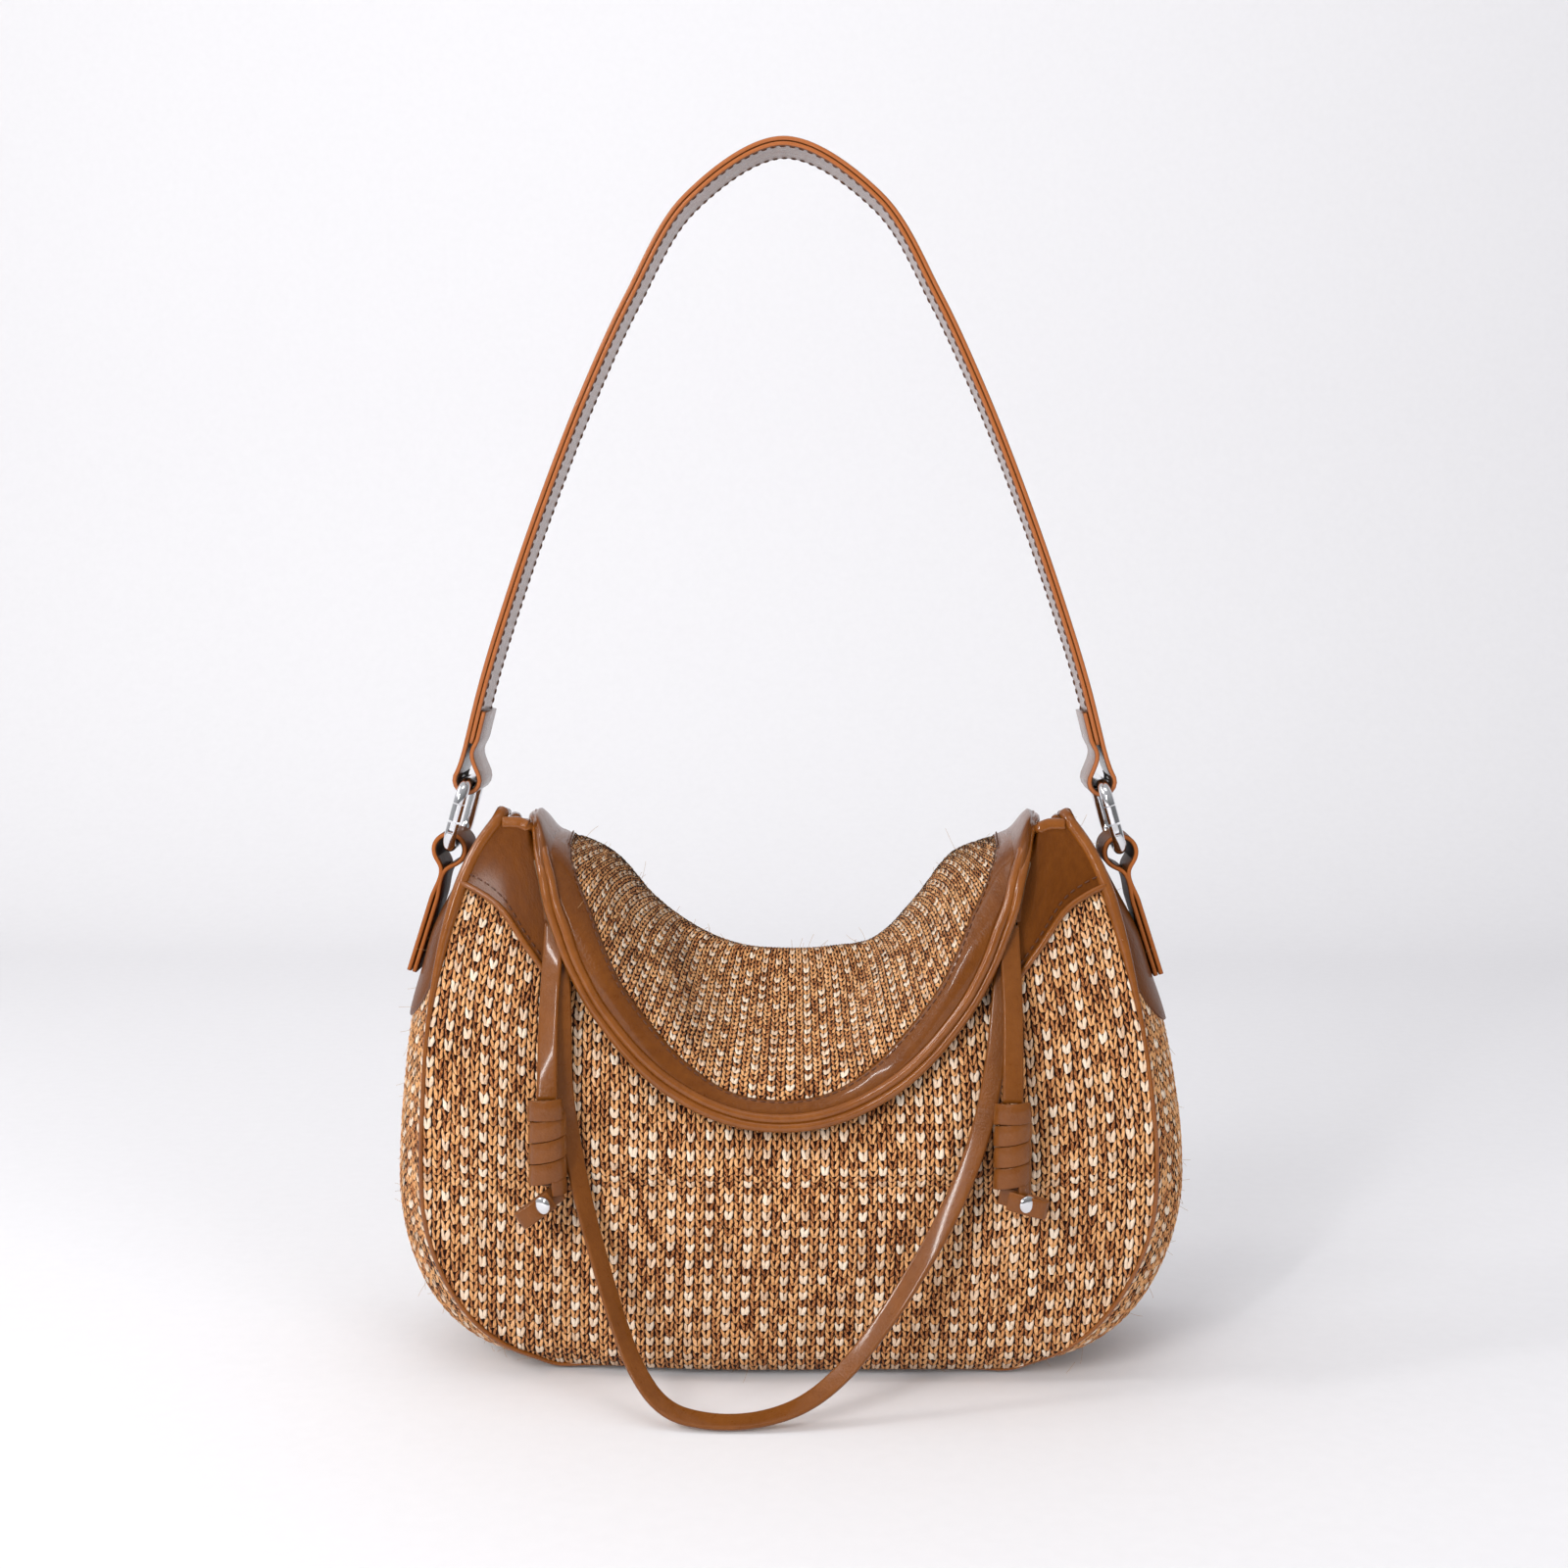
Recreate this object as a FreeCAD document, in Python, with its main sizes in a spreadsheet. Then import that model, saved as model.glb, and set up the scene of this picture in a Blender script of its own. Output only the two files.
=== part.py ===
"""Slouchy hobo bag of knitted straw with leather trim.

Millimetres, +Z up, -Y is the front, origin on the floor under the middle of the base.
Soft shells are lofted through a short list of stations that give the seam outline of
the body; leather straps, rings and fittings are sketches and primitives.
"""
import math
import os

import FreeCAD
import Part

Vec = FreeCAD.Vector
UP = Vec(0, 0, 1)
DEPTH_AXIS = Vec(0, 1, 0)

# ---------------------------------------------------------------- driving dimensions
SIZES = {
    "knit_thick": 3.0,         # knitted straw fabric
    "leather_thick": 1.6,      # single layer of trim leather
    "lining_thick": 0.8,
    "air_gap": 0.35,           # room left between layers that lie on each other
    "piping_dia": 5.0,
    "rim_dia": 3.6,
    "mouth_rim_dia": 2.6,
    "board_length": 190.0,
    "board_width": 66.0,
    "board_thick": 1.8,
    "board_corner": 16.0,
    "band_width": 12.0,        # leather band along the flap's edge
    "mouth_half": 104.0,       # mouth, either side of the middle
    "mouth_top": 229.0,
        "mouth_dip": 171.0,         # lowest point of the hanging mouth edge
    "strap_width": 28.0,
    "strap_layer": 1.9,
    "fold_rise": 14.0,         # how far the strap's folded end runs up inside the leg
    "loop_inside": 11.2,       # inside of the leather loops on the ring bars
    "tab_width": 25.0,
    "tab_length": 58.0,        # from the ring's lower bar to the free end
    "tab_slope": 18.0,         # degrees that the tab slopes out as it goes down
    "wire_dia": 5.0,           # ring wire
    "ring_width": 40.0,        # ring centre line, front to back
    "ring_height": 27.5,       # ring centre line, bottom to top
    "ring_corner": 8.0,
    "ring_low_x": 139.2,       # centre of the ring's lower bar
    "ring_low_z": 216.3,
    "ring_lean": 16.0,         # degrees that the ring leans in towards the strap
    "gate_length": 8.5,
    "pin_dia": 1.4,
    "pin_play": 0.06,
    "snap_dia": 18.0,
    "snap_thick": 1.8,
    "lace_tube_dia": 3.6,      # round tube in place of the flat lace
    "knot_dia": 16.0,
    "knot_length": 36.0,
    "rivet_dia": 6.0,
    "keeper_width": 11.0,
    "keeper_height": 7.0,
}

# Half seam outline of the body, bottom to top:
# height, seam half width, seam half depth, panel bulge, gusset bulge
BODY = [
    (7.0, 100.0, 42.0, 2.0, 7.0),
    (12.0, 112.0, 44.0, 3.5, 12.0),
    (20.0, 123.0, 46.0, 5.0, 16.5),
    (32.0, 133.0, 48.0, 6.5, 19.0),
    (48.0, 141.5, 49.5, 8.0, 19.0),
    (68.0, 147.5, 50.0, 9.0, 17.5),
    (92.0, 149.0, 49.0, 9.0, 16.0),
    (120.0, 147.5, 46.5, 8.0, 14.5),
    (148.0, 144.5, 43.0, 6.0, 12.5),
    (172.0, 139.5, 38.0, 4.5, 9.0),
    (190.0, 134.5, 34.0, 3.5, 6.5),
    (204.0, 130.0, 30.0, 2.5, 4.5),
    (218.0, 123.5, 25.0, 1.5, 3.0),
    (228.0, 116.5, 21.0, 1.0, 2.0),
]
# Right half of the flap: across, ridge height, lower edge height,
# then the depth of its fold, its middle and its lower edge
FLAP = [
    (0.0, 171.0, 107.5, 16.0, 38.0, 58.0),
    (20.0, 172.5, 110.0, 16.0, 38.5, 57.5),
    (40.0, 178.5, 118.5, 17.0, 41.0, 56.5),
    (56.0, 188.5, 130.0, 19.0, 44.5, 55.0),
    (70.0, 200.0, 145.5, 21.0, 45.5, 53.0),
    (82.0, 209.5, 163.5, 23.0, 43.0, 50.5),
    (91.0, 216.5, 184.0, 25.0, 39.5, 47.5),
    (97.0, 221.5, 204.0, 26.0, 35.5, 43.5),
]
# Half of the strap's outer line, from the ring to the top of the arch
ARCH = [(132.5, 260.0), (126.5, 283.0), (113.5, 323.5), (99.0, 363.5), (83.0, 403.0),
        (64.5, 442.0), (40.0, 482.0), (0.0, 504.5)]
# The lace's long loop, left keeper to right keeper, lying on the floor in the middle
LOOP = [(-91, -39.4, 187), (-90.6, -42.2, 176.5), (-90, -50.5, 162), (-89, -55.5, 144),
        (-87, -58.5, 124), (-83.5, -59.5, 103), (-79, -63, 82), (-72.5, -69, 61),
        (-65, -77, 40), (-56, -87, 20), (-44, -94.5, 6.5), (-27, -97, 3.0), (-8, -96.5, 3.4),
        (10, -94, 8.5), (25, -89, 19), (39, -83.5, 35), (52, -77.5, 53), (64, -71, 72),
        (74, -65, 92), (81.5, -60, 113), (86.5, -56, 135), (89.5, -50.5, 156),
        (90.8, -43.5, 172), (91, -39.6, 184)]
# One free end of the lace, from its keeper down to the knot
TAIL = [(95.5, -39.6, 188.5), (95.3, -43.5, 177), (94.5, -53, 160), (93, -61, 141), (92, -67, 122)]

doc = FreeCAD.newDocument("HoboBag")
sheet = doc.addObject("Spreadsheet::Sheet", "Sizes")
for row, (alias, value) in enumerate(SIZES.items(), start=1):
    sheet.set(f"A{row}", alias)
    sheet.set(f"B{row}", str(value))
    sheet.setAlias(f"B{row}", alias)
doc.recompute()


def size(alias):
    return float(sheet.get(alias))


KNIT = size("knit_thick")
LEATHER = size("leather_thick")
GAP = size("air_gap")
parts = []


def keep(obj, label):
    obj.Label = label
    parts.append(obj)
    return obj


def feature(label, shape):
    """A sub-part whose curved shape is made with Part's own functions."""
    obj = doc.addObject("Part::Feature", label)
    obj.Shape = shape
    return keep(obj, label)


def mirrored(shape):
    return shape.mirror(Vec(0, 0, 0), Vec(1, 0, 0))


def bent_line(ends, bulge):
    """A parabola between two points, bulging along a vector."""
    curve = Part.BezierCurve()
    curve.setPoles([ends[0], (ends[0] + ends[1]) * 0.5 + bulge * 2, ends[1]])
    return curve.toShape()


def loft(wires):
    return Part.makeLoft(wires, True, True)


# ---------------------------------------------------------------- front and back panels
def panel_wire(station, side, inner, outer, left, right):
    """Section of a layer of the panel at one height; left and right are places across."""
    z, half, depth, bulge, _ = station

    def edge_point(x, offset):
        out = depth + bulge * (1 - (x / half) ** 2) + offset
        return Vec(x, side * out, z)

    def line(offset, a, b):
        middle = (a + b) / 2
        straight = (edge_point(a, offset) + edge_point(b, offset)) * 0.5
        sag = edge_point(middle, offset) - straight
        return bent_line((edge_point(a, offset), edge_point(b, offset)), sag)

    first, second = line(inner, left, right), line(outer, right, left)
    ends = [Part.makeLine(edge_point(right, inner), edge_point(right, outer)),
            Part.makeLine(edge_point(left, outer), edge_point(left, inner))]
    return Part.Wire([first, ends[0], second, ends[1]])


def sag_tool(dip, half, top, reach=90.0):
    """Prism that cuts the hanging mouth edge out of whatever it meets."""
    shoulder = dip + (top - dip) * 0.42
    pts = [Vec(-half, -reach, top), Vec(-half * 0.62, -reach, shoulder), Vec(0, -reach, dip),
           Vec(half * 0.62, -reach, shoulder), Vec(half, -reach, top)]
    curve = Part.BSplineCurve()
    curve.interpolate(pts)
    lid = Part.makePolygon([pts[-1], pts[-1] + UP * 40, pts[0] + UP * 40, pts[0]])
    face = Part.Face(Part.Wire([curve.toShape()] + lid.Edges))
    return face.extrude(DEPTH_AXIS * (2 * reach))


FLAP_ROOT = 7.0                      # depth at which the flap leaves the back panel
UNDER_FLAP = -1.9                    # underside of the closed flap, lining and gap included


def flap_rows(reach=FLAP[-1][0]):
    right = [row for row in FLAP if row[0] <= reach]
    return [(-row[0],) + row[1:] for row in right[:0:-1]] + right


def flap_profile(row, offset):
    """Points of the flap from its root over the fold to the lower edge, moved outward."""
    x, top, low, fold, middle, out = row
    drop = top - low
    points = [Vec(x, FLAP_ROOT, top), Vec(x, -fold, top - 0.1 * drop),
              Vec(x, -middle, top - 0.5 * drop), Vec(x, -out, low)]
    moved = []
    for i, point in enumerate(points):
        ahead = points[min(i + 1, 3)] - points[max(i - 1, 0)]
        moved.append(point + Vec(0, ahead.z, -ahead.y).normalize() * offset)
    return moved


def polygon_loft(outlines):
    return loft([Part.makePolygon(outline + outline[:1]) for outline in outlines])


def over_flap_tool():
    """Everything outside the closed flap's underside."""
    outlines = []
    for row in flap_rows():
        under = flap_profile(row, UNDER_FLAP)
        far = [Vec(row[0], -140, under[3].z), Vec(row[0], -140, 320), Vec(row[0], FLAP_ROOT, 320)]
        outlines.append(under + far)
    return polygon_loft(outlines)


OVER_FLAP = over_flap_tool()
PIPE = size("piping_dia")
SEAM_IN = PIPE * 0.5 + GAP          # panels and gusset stop short of the piping roll
MOUTH_CUT = sag_tool(size("mouth_dip"), size("mouth_half"), size("mouth_top"))
PANEL_FOOT = 10.0                    # the panels end above the piping along the base
SNAP_R = size("snap_dia") / 2
SNAP_T = size("snap_thick")


def seam_inset(index):
    """Room for the piping roll, measured level, where the seam slopes."""
    if index == 0:
        return SEAM_IN
    below, above = BODY[index - 1], BODY[min(index + 1, len(BODY) - 1)]
    rise = above[0] - below[0]
    return SEAM_IN * math.hypot(above[1] - below[1], rise) / rise


def panel(side):
    wires = []
    for i, row in enumerate(BODY):
        reach = row[1] - seam_inset(i)
        if i == 0:
            row = (PANEL_FOOT,) + row[1:2] + BODY[1][2:]
        wires.append(panel_wire(row, side, -KNIT, 0.0, -reach, reach))
    return loft(wires).cut(MOUTH_CUT)


def snap_frame():
    """Where the snap sits: on the middle of the slope that the flap lies on."""
    points = flap_profile(FLAP[0], 0.0)
    slope = points[2] - points[3]
    tilt = math.degrees(math.atan2(slope.z, slope.y))
    return FreeCAD.Placement(points[3] + slope * 0.42, FreeCAD.Rotation(Vec(1, 0, 0), tilt))


def snap_hole():
    hole = Part.makeCylinder(SNAP_R + GAP, 7.6, Vec(0, 0, -6.5), UP)
    hole.Placement = snap_frame()
    return hole


def front_lap():
    """Upper edge of the front, which leans back under the flap."""
    outlines = []
    for row in flap_rows(70.0):
        top, below = flap_profile(row, UNDER_FLAP), flap_profile(row, UNDER_FLAP - KNIT)
        outlines.append([top[3], top[2], below[2], below[3]])
    return polygon_loft(outlines)


front = panel(-1).cut(OVER_FLAP).fuse(front_lap()).cut(snap_hole())
feature("front_panel", front)
feature("back_panel", panel(1))


# ---------------------------------------------------------------- gusset
def gusset_section(station, inner, outer, turn):
    """Section of the gusset across the bag; turn is 0 under the base and 1 at the side."""
    z, half, depth, _, bulge = station
    normal = Vec(math.sin(turn * math.pi / 2), 0, -math.cos(turn * math.pi / 2))
    edge = depth - SEAM_IN
    flat = edge * (0.86 - 0.5 * turn)
    rise = bulge * (1.0 - 0.06 * turn)
    base = Vec(half, 0, z)

    def row(offset, inset):
        bend = (edge + flat) * 0.55 - inset
        return [base + normal * offset + DEPTH_AXIS * -edge,
                base + normal * (rise * 0.72 + offset) + DEPTH_AXIS * -bend,
                base + normal * (bulge + offset) + DEPTH_AXIS * -flat * 0.7,
                base + normal * (bulge + offset) + DEPTH_AXIS * flat * 0.7,
                base + normal * (rise * 0.72 + offset) + DEPTH_AXIS * bend,
                base + normal * offset + DEPTH_AXIS * edge]

    outline = row(outer, 0.0) + row(inner, (outer - inner) * (1.0 - turn))[::-1]
    return Part.makePolygon(outline + outline[:1])


def gusset_turn(index):
    """How far the gusset has turned from facing down to facing sideways."""
    steps = (0.0, 0.28, 0.5, 0.68, 0.84, 0.95)
    return steps[index] if index < len(steps) else 1.0


def gusset_side(inner, outer, first=0):
    return [gusset_section(BODY[i], inner, outer, gusset_turn(i))
            for i in range(first, len(BODY))]


low, _, *rest_of_row = BODY[0]
under_base = gusset_section((low + 0.4, 0.0, *rest_of_row), -KNIT, 0.0, 0.0)
gusset = loft([under_base] + gusset_side(-KNIT, 0.0))
feature("gusset_right", gusset)
feature("gusset_left", mirrored(gusset))


# ---------------------------------------------------------------- tubes along a route
def rounded_route(points):
    """Straight runs joined by tangent arcs, each as large as its two runs allow."""
    edges, radii, here = [], [], points[0]
    for before, corner, after in zip(points, points[1:], points[2:]):
        inward, onward = before - corner, after - corner
        shorter = min(inward.Length, onward.Length) * 0.45
        inward.normalize()
        onward.normalize()
        turn = math.pi - inward.getAngle(onward)
        start, end = corner + inward * shorter, corner + onward * shorter
        radius = shorter / math.tan(turn / 2)
        radii.append(radius)
        middle = (start + end) * 0.5
        back = corner - middle
        centre_gap = math.sqrt(radius ** 2 - ((end - start).Length / 2) ** 2)
        top = middle + back.normalize() * (radius - centre_gap)
        if (start - here).Length > 0.01:
            edges.append(Part.LineSegment(here, start).toShape())
        edges.append(Part.Arc(start, top, end).toShape())
        here = end
    edges.append(Part.LineSegment(here, points[-1]).toShape())
    return Part.Wire(edges), radii


def tube(points, diameter, name=""):
    wire, radii = rounded_route([Vec(*p) for p in points])
    first = wire.Edges[0]
    start, direction = first.valueAt(first.FirstParameter), first.tangentAt(first.FirstParameter)
    ring = Part.Wire(Part.makeCircle(diameter / 2, start, direction))
    solid = wire.makePipeShell([ring], True, False)
    if name:
        section = math.pi * diameter ** 2 / 4
        print(name, "length %.1f" % wire.Length, "least radius %.1f" % min(radii),
              "volume ratio %.3f" % (solid.Volume / (section * wire.Length)))
    return solid


def seam_route(side):
    """The front or back seam, from the top of one side round the base to the other."""
    right = [(row[1], side * row[2], row[0]) for row in BODY]
    left = [(-x, y, z) for x, y, z in right]
    middle = [(-50.0, side * 41.6, 6.6), (0.0, side * 41.4, 6.4), (50.0, side * 41.6, 6.6)]
    return left[::-1] + middle + right


feature("front_piping", tube(seam_route(-1), PIPE))
feature("back_piping", tube(seam_route(1), PIPE))


# ---------------------------------------------------------------- leather on the corners
def corner_patch(side):
    insets = [32.0, 32.0, 27.0, 24.0, 20.0]
    wires = []
    for station, inset in zip(BODY[9:], insets):
        edge = station[1] - SEAM_IN
        wires.append(panel_wire(station, side, GAP, GAP + LEATHER, edge - inset, edge))
    return loft(wires).cut([MOUTH_CUT, OVER_FLAP])


for side_name, side_sign in (("front", -1), ("back", 1)):
    patch = corner_patch(side_sign)
    feature(f"{side_name}_corner_patch_right", patch)
    feature(f"{side_name}_corner_patch_left", mirrored(patch))

cap = loft(gusset_side(GAP, GAP + LEATHER, first=8))
feature("gusset_cap_right", cap)
feature("gusset_cap_left", mirrored(cap))


# ---------------------------------------------------------------- mouth, lining, base board
def edge_route(lines, clearance, past):
    """A line beside the edge of a sheet: each line runs across the sheet to its edge."""
    route = []
    for i, (inside, edge) in enumerate(lines):
        along = lines[min(i + 1, len(lines) - 1)][1] - lines[max(i - 1, 0)][1]
        along.normalize()
        outward = edge - inside
        outward = (outward - along * outward.dot(along)).normalize()
        route.append(tuple(edge + outward * (clearance + past)))
    return route


def mouth_route():
    """Just past the upper edge of the front, which hangs between the corners."""
    lines = [flap_profile(row, UNDER_FLAP - KNIT * 0.5 - 1.6) for row in flap_rows(56.0)]
    return edge_route([(line[3], line[2]) for line in lines], size("mouth_rim_dia") * 0.5, 1.6)


feature("front_mouth_rim", tube(mouth_route(), size("mouth_rim_dia")))


def body_wire(station, inset):
    """Closed section of the bag's inside at one height."""
    z, half, depth, bulge, side_bulge = station
    x = half - inset
    y = depth - inset
    corners = [Vec(-x, -y, z), Vec(x, -y, z), Vec(x, y, z), Vec(-x, y, z)]
    bulges = [Vec(0, -bulge, 0), Vec(side_bulge * 0.6, 0, 0), Vec(0, bulge, 0),
              Vec(-side_bulge * 0.6, 0, 0)]
    edges = [bent_line((corners[i], corners[(i + 1) % 4]), bulges[i]) for i in range(4)]
    return Part.Wire(edges)


def under_front_tool():
    """Everything outside the inner face of the front where it leans back."""
    outlines = []
    for row in flap_rows():
        under = flap_profile(row, UNDER_FLAP - KNIT - GAP * 2)
        far = [Vec(row[0], -140, under[3].z), Vec(row[0], -140, 320), Vec(row[0], FLAP_ROOT, 320)]
        outlines.append(under + far)
    return polygon_loft(outlines)


LINING_IN = KNIT + PIPE * 0.5 + GAP
outside = loft([body_wire(row, LINING_IN) for row in BODY[1:]])
hollow = loft([body_wire(row, LINING_IN + size("lining_thick")) for row in BODY[1:]])
floor_cut = Part.makeBox(400, 200, 300, Vec(-200, -100, BODY[1][0] + size("lining_thick")))
lining = outside.cut(hollow.common(floor_cut)).cut([MOUTH_CUT, under_front_tool()])
feature("lining", lining)

pocket = loft([panel_wire(row, 1, -LINING_IN - 4.0, -LINING_IN - 2.6, -58.0, 58.0)
               for row in BODY[4:8]])
feature("inner_pocket", pocket)

board = doc.addObject("PartDesign::Body", "BoardBody")


def origin_plane(body, role):
    return next(plane for plane in body.Origin.OriginFeatures if plane.Role == role)


def new_sketch(body, name, role):
    sketch = body.newObject("Sketcher::SketchObject", name)
    sketch.AttachmentSupport = [(origin_plane(body, role), "")]
    sketch.MapMode = "FlatFace"
    return sketch


def closed_sketch(body, name, role, segments):
    sketch = new_sketch(body, name, role)
    sketch.addGeometry(segments, False)
    return sketch


def centred_pad(body, name, sketch, length):
    pad = body.newObject("PartDesign::Pad", name)
    pad.Profile = sketch
    pad.setExpression("Length", length)
    pad.Midplane = True
    return pad


def rectangle(width, height):
    x, y = width / 2, height / 2
    pts = [Vec(-x, -y, 0), Vec(x, -y, 0), Vec(x, y, 0), Vec(-x, y, 0)]
    return [Part.LineSegment(pts[i], pts[(i + 1) % 4]) for i in range(4)]


board_sketch = closed_sketch(board, "BoardOutline", "XY_Plane",
                             rectangle(size("board_length"), size("board_width")))
board_pad = centred_pad(board, "BoardPad", board_sketch, "Sizes.board_thick")
doc.recompute()
upright = [f"Edge{i}" for i, edge in enumerate(board_pad.Shape.Edges, start=1)
           if abs(edge.tangentAt(edge.FirstParameter).z) > 0.99]
board_round = board.newObject("PartDesign::Fillet", "BoardCorners")
board_round.Base = (board_pad, upright)
board_round.setExpression("Radius", "Sizes.board_corner")
board.Tip = board_round
board.Placement = FreeCAD.Placement(Vec(0, 0, 7.5), FreeCAD.Rotation())
keep(board, "base_board")


# ---------------------------------------------------------------- flap
def flap_layer(inner, outer):
    return polygon_loft([flap_profile(row, outer) + flap_profile(row, inner)[::-1]
                         for row in flap_rows()])


feature("flap_panel", flap_layer(0.0, KNIT).cut(snap_hole()))
feature("flap_lining", flap_layer(-GAP - size("lining_thick"), -GAP).cut(snap_hole()))


def band_outline(row):
    """Leather band on top of the flap, beside its lower edge."""
    under = flap_profile(row, KNIT + GAP)
    over = flap_profile(row, KNIT + GAP + LEATHER)
    share = size("band_width") / (over[2] - over[3]).Length
    return [over[3], over[3] + (over[2] - over[3]) * share,
            under[3] + (under[2] - under[3]) * share, under[3]]


feature("flap_band", polygon_loft([band_outline(row) for row in flap_rows()]))
RIM = size("rim_dia")


def rim_route():
    """Just below the flap's lower edge, all the way round."""
    lines = [flap_profile(row, KNIT * 0.5) for row in flap_rows()]
    return edge_route([(line[2], line[3]) for line in lines], RIM * 0.5, 1.3)


feature("flap_rim", tube(rim_route(), RIM))


# ---------------------------------------------------------------- magnetic snap
def turned(label, outline, placement):
    """A disc-like fitting turned about its own axis, then set in place."""
    body = doc.addObject("PartDesign::Body", label + "_body")
    pts = [Vec(x, z, 0) for x, z in outline]
    sketch = closed_sketch(body, label + "_profile", "XZ_Plane",
                           [Part.LineSegment(a, b) for a, b in zip(pts, pts[1:] + pts[:1])])
    turn = body.newObject("PartDesign::Revolution", label + "_turn")
    turn.Profile = sketch
    turn.ReferenceAxis = (sketch, ["V_Axis"])
    turn.Angle = 360
    body.Tip = turn
    body.Placement = placement
    return keep(body, label)


SOCKET_TOP = UNDER_FLAP - 0.4
STUD_LOW = SOCKET_TOP + 0.4
turned("snap_socket", [(0, SOCKET_TOP - SNAP_T), (SNAP_R, SOCKET_TOP - SNAP_T),
                       (SNAP_R, SOCKET_TOP), (3.4, SOCKET_TOP), (3.0, SOCKET_TOP - 0.9),
                       (0, SOCKET_TOP - 0.9)], snap_frame())
turned("snap_stud", [(0, STUD_LOW - 0.8), (2.0, STUD_LOW - 0.8), (2.3, STUD_LOW),
                     (SNAP_R, STUD_LOW), (SNAP_R, STUD_LOW + SNAP_T), (0, STUD_LOW + SNAP_T)],
       snap_frame())


# ---------------------------------------------------------------- rings and gates
def ring_frame():
    """Placement of the right ring: local X across the bag, local Z up along the ring."""
    lean = FreeCAD.Rotation(DEPTH_AXIS, -size("ring_lean"))
    return FreeCAD.Placement(Vec(size("ring_low_x"), 0, size("ring_low_z")), lean)


WIRE = size("wire_dia")
HALF_W, TALL, CORNER = size("ring_width") / 2, size("ring_height"), size("ring_corner")
GATE_TOP = TALL - CORNER
GATE_LOW = GATE_TOP - size("gate_length")


def quarter(centre_y, centre_z, start_angle):
    angles = [math.radians(start_angle + a) for a in (0, 45, 90)]
    pts = [Vec(0, centre_y + CORNER * math.cos(a), centre_z + CORNER * math.sin(a))
           for a in angles]
    return Part.Arc(*pts).toShape()


def ring_body():
    """Wire oval, open at the front bar where the gate sits."""
    inner_y, low, high = HALF_W - CORNER, CORNER, TALL - CORNER
    lines = [((-HALF_W, GATE_TOP), (-HALF_W, high)), ((-inner_y, TALL), (inner_y, TALL)),
             ((HALF_W, high), (HALF_W, low)), ((inner_y, 0), (-inner_y, 0)),
             ((-HALF_W, low), (-HALF_W, GATE_LOW))]
    runs = [Part.makeLine(Vec(0, *a), Vec(0, *b)) for a, b in lines if a != b]
    bends = [quarter(-inner_y, high, 90), quarter(inner_y, high, 0),
             quarter(inner_y, low, -90), quarter(-inner_y, low, 180)]
    solids = [Part.Wire(run).makePipeShell([wire_circle(run)], True, False) for run in runs]
    solids += [Part.Wire(bend).makePipeShell([wire_circle(bend)], True, False) for bend in bends]
    return solids[0].fuse(solids[1:]).removeSplitter()


def wire_circle(edge):
    start, direction = edge.valueAt(edge.FirstParameter), edge.tangentAt(edge.FirstParameter)
    return Part.Wire(Part.makeCircle(WIRE / 2, start, direction))


CHEEK_GAP = 2.0                       # slot in the ring's end that holds the gate's tongue
TONGUE = 1.8
PIN_R = size("pin_dia") / 2
HINGE = Vec(0, -HALF_W, GATE_LOW - 2.2)
ACROSS = Vec(1, 0, 0)


def across_cylinder(radius, length):
    return Part.makeCylinder(radius, length, HINGE - ACROSS * (length / 2), ACROSS)


def spring_cylinder(radius, top, length):
    return Part.makeCylinder(radius, length, HINGE + UP * top, UP * -1)


slot = Part.makeBox(CHEEK_GAP, WIRE + 2, 6.2, HINGE + Vec(-CHEEK_GAP / 2, -WIRE / 2 - 1, -2.6))
ring_solid = ring_body().cut([slot, across_cylinder(PIN_R, WIRE + 2),
                              spring_cylinder(0.9, -2.5, 2.7)])
gate_bar = Part.makeCylinder(WIRE / 2, GATE_TOP - GATE_LOW - 1.4, Vec(0, -HALF_W, GATE_LOW + 0.9), UP)
tongue = across_cylinder(WIRE * 0.36, TONGUE).fuse(
    Part.makeBox(TONGUE, WIRE * 0.72, 4, HINGE + Vec(-TONGUE / 2, -WIRE * 0.36, 0)))
gate_solid = gate_bar.fuse(tongue).cut(across_cylinder(PIN_R + size("pin_play"), WIRE + 2))
gate_solid = gate_solid.removeSplitter()
pin_solid = across_cylinder(PIN_R, WIRE - 0.4)
spring_solid = spring_cylinder(0.8, -2.7, 2.2).cut(spring_cylinder(0.45, -2.0, 4))

for label, solid in (("ring", ring_solid), ("ring_gate", gate_solid),
                     ("gate_pin", pin_solid), ("gate_spring", spring_solid)):
    right = solid.copy()
    right.Placement = ring_frame().multiply(right.Placement)
    feature(f"{label}_right", right)
    feature(f"{label}_left", mirrored(right))


def ring_point(height):
    return ring_frame().multVec(Vec(0, 0, height))


# ---------------------------------------------------------------- leather tabs and strap
def side_pad(label, outline, width):
    """A leather piece whose side view is a closed outline, as wide as the strap."""
    body = doc.addObject("PartDesign::Body", label + "_body")
    sketch = closed_sketch(body, label + "_side", "XZ_Plane", outline)
    pad = centred_pad(body, label + "_pad", sketch, width)
    body.Tip = pad
    return keep(body, label)


LOOP_INSIDE = size("loop_inside") / 2


def loop_path(bar, leg_dir, thickness):
    """Middle line of a leather loop hung on a bar, from one side of its leg to the other."""
    across = Vec(-leg_dir.y, leg_dir.x, 0)
    middle = bar + leg_dir * (LOOP_INSIDE - WIRE / 2 - 2 * GAP)
    path = []
    for angle in range(-120, 121, 20):
        turn = math.radians(angle)
        ray = across * math.sin(turn) - leg_dir * math.cos(turn)
        path.append(middle + ray * (LOOP_INSIDE + thickness / 2))
    return path


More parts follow.
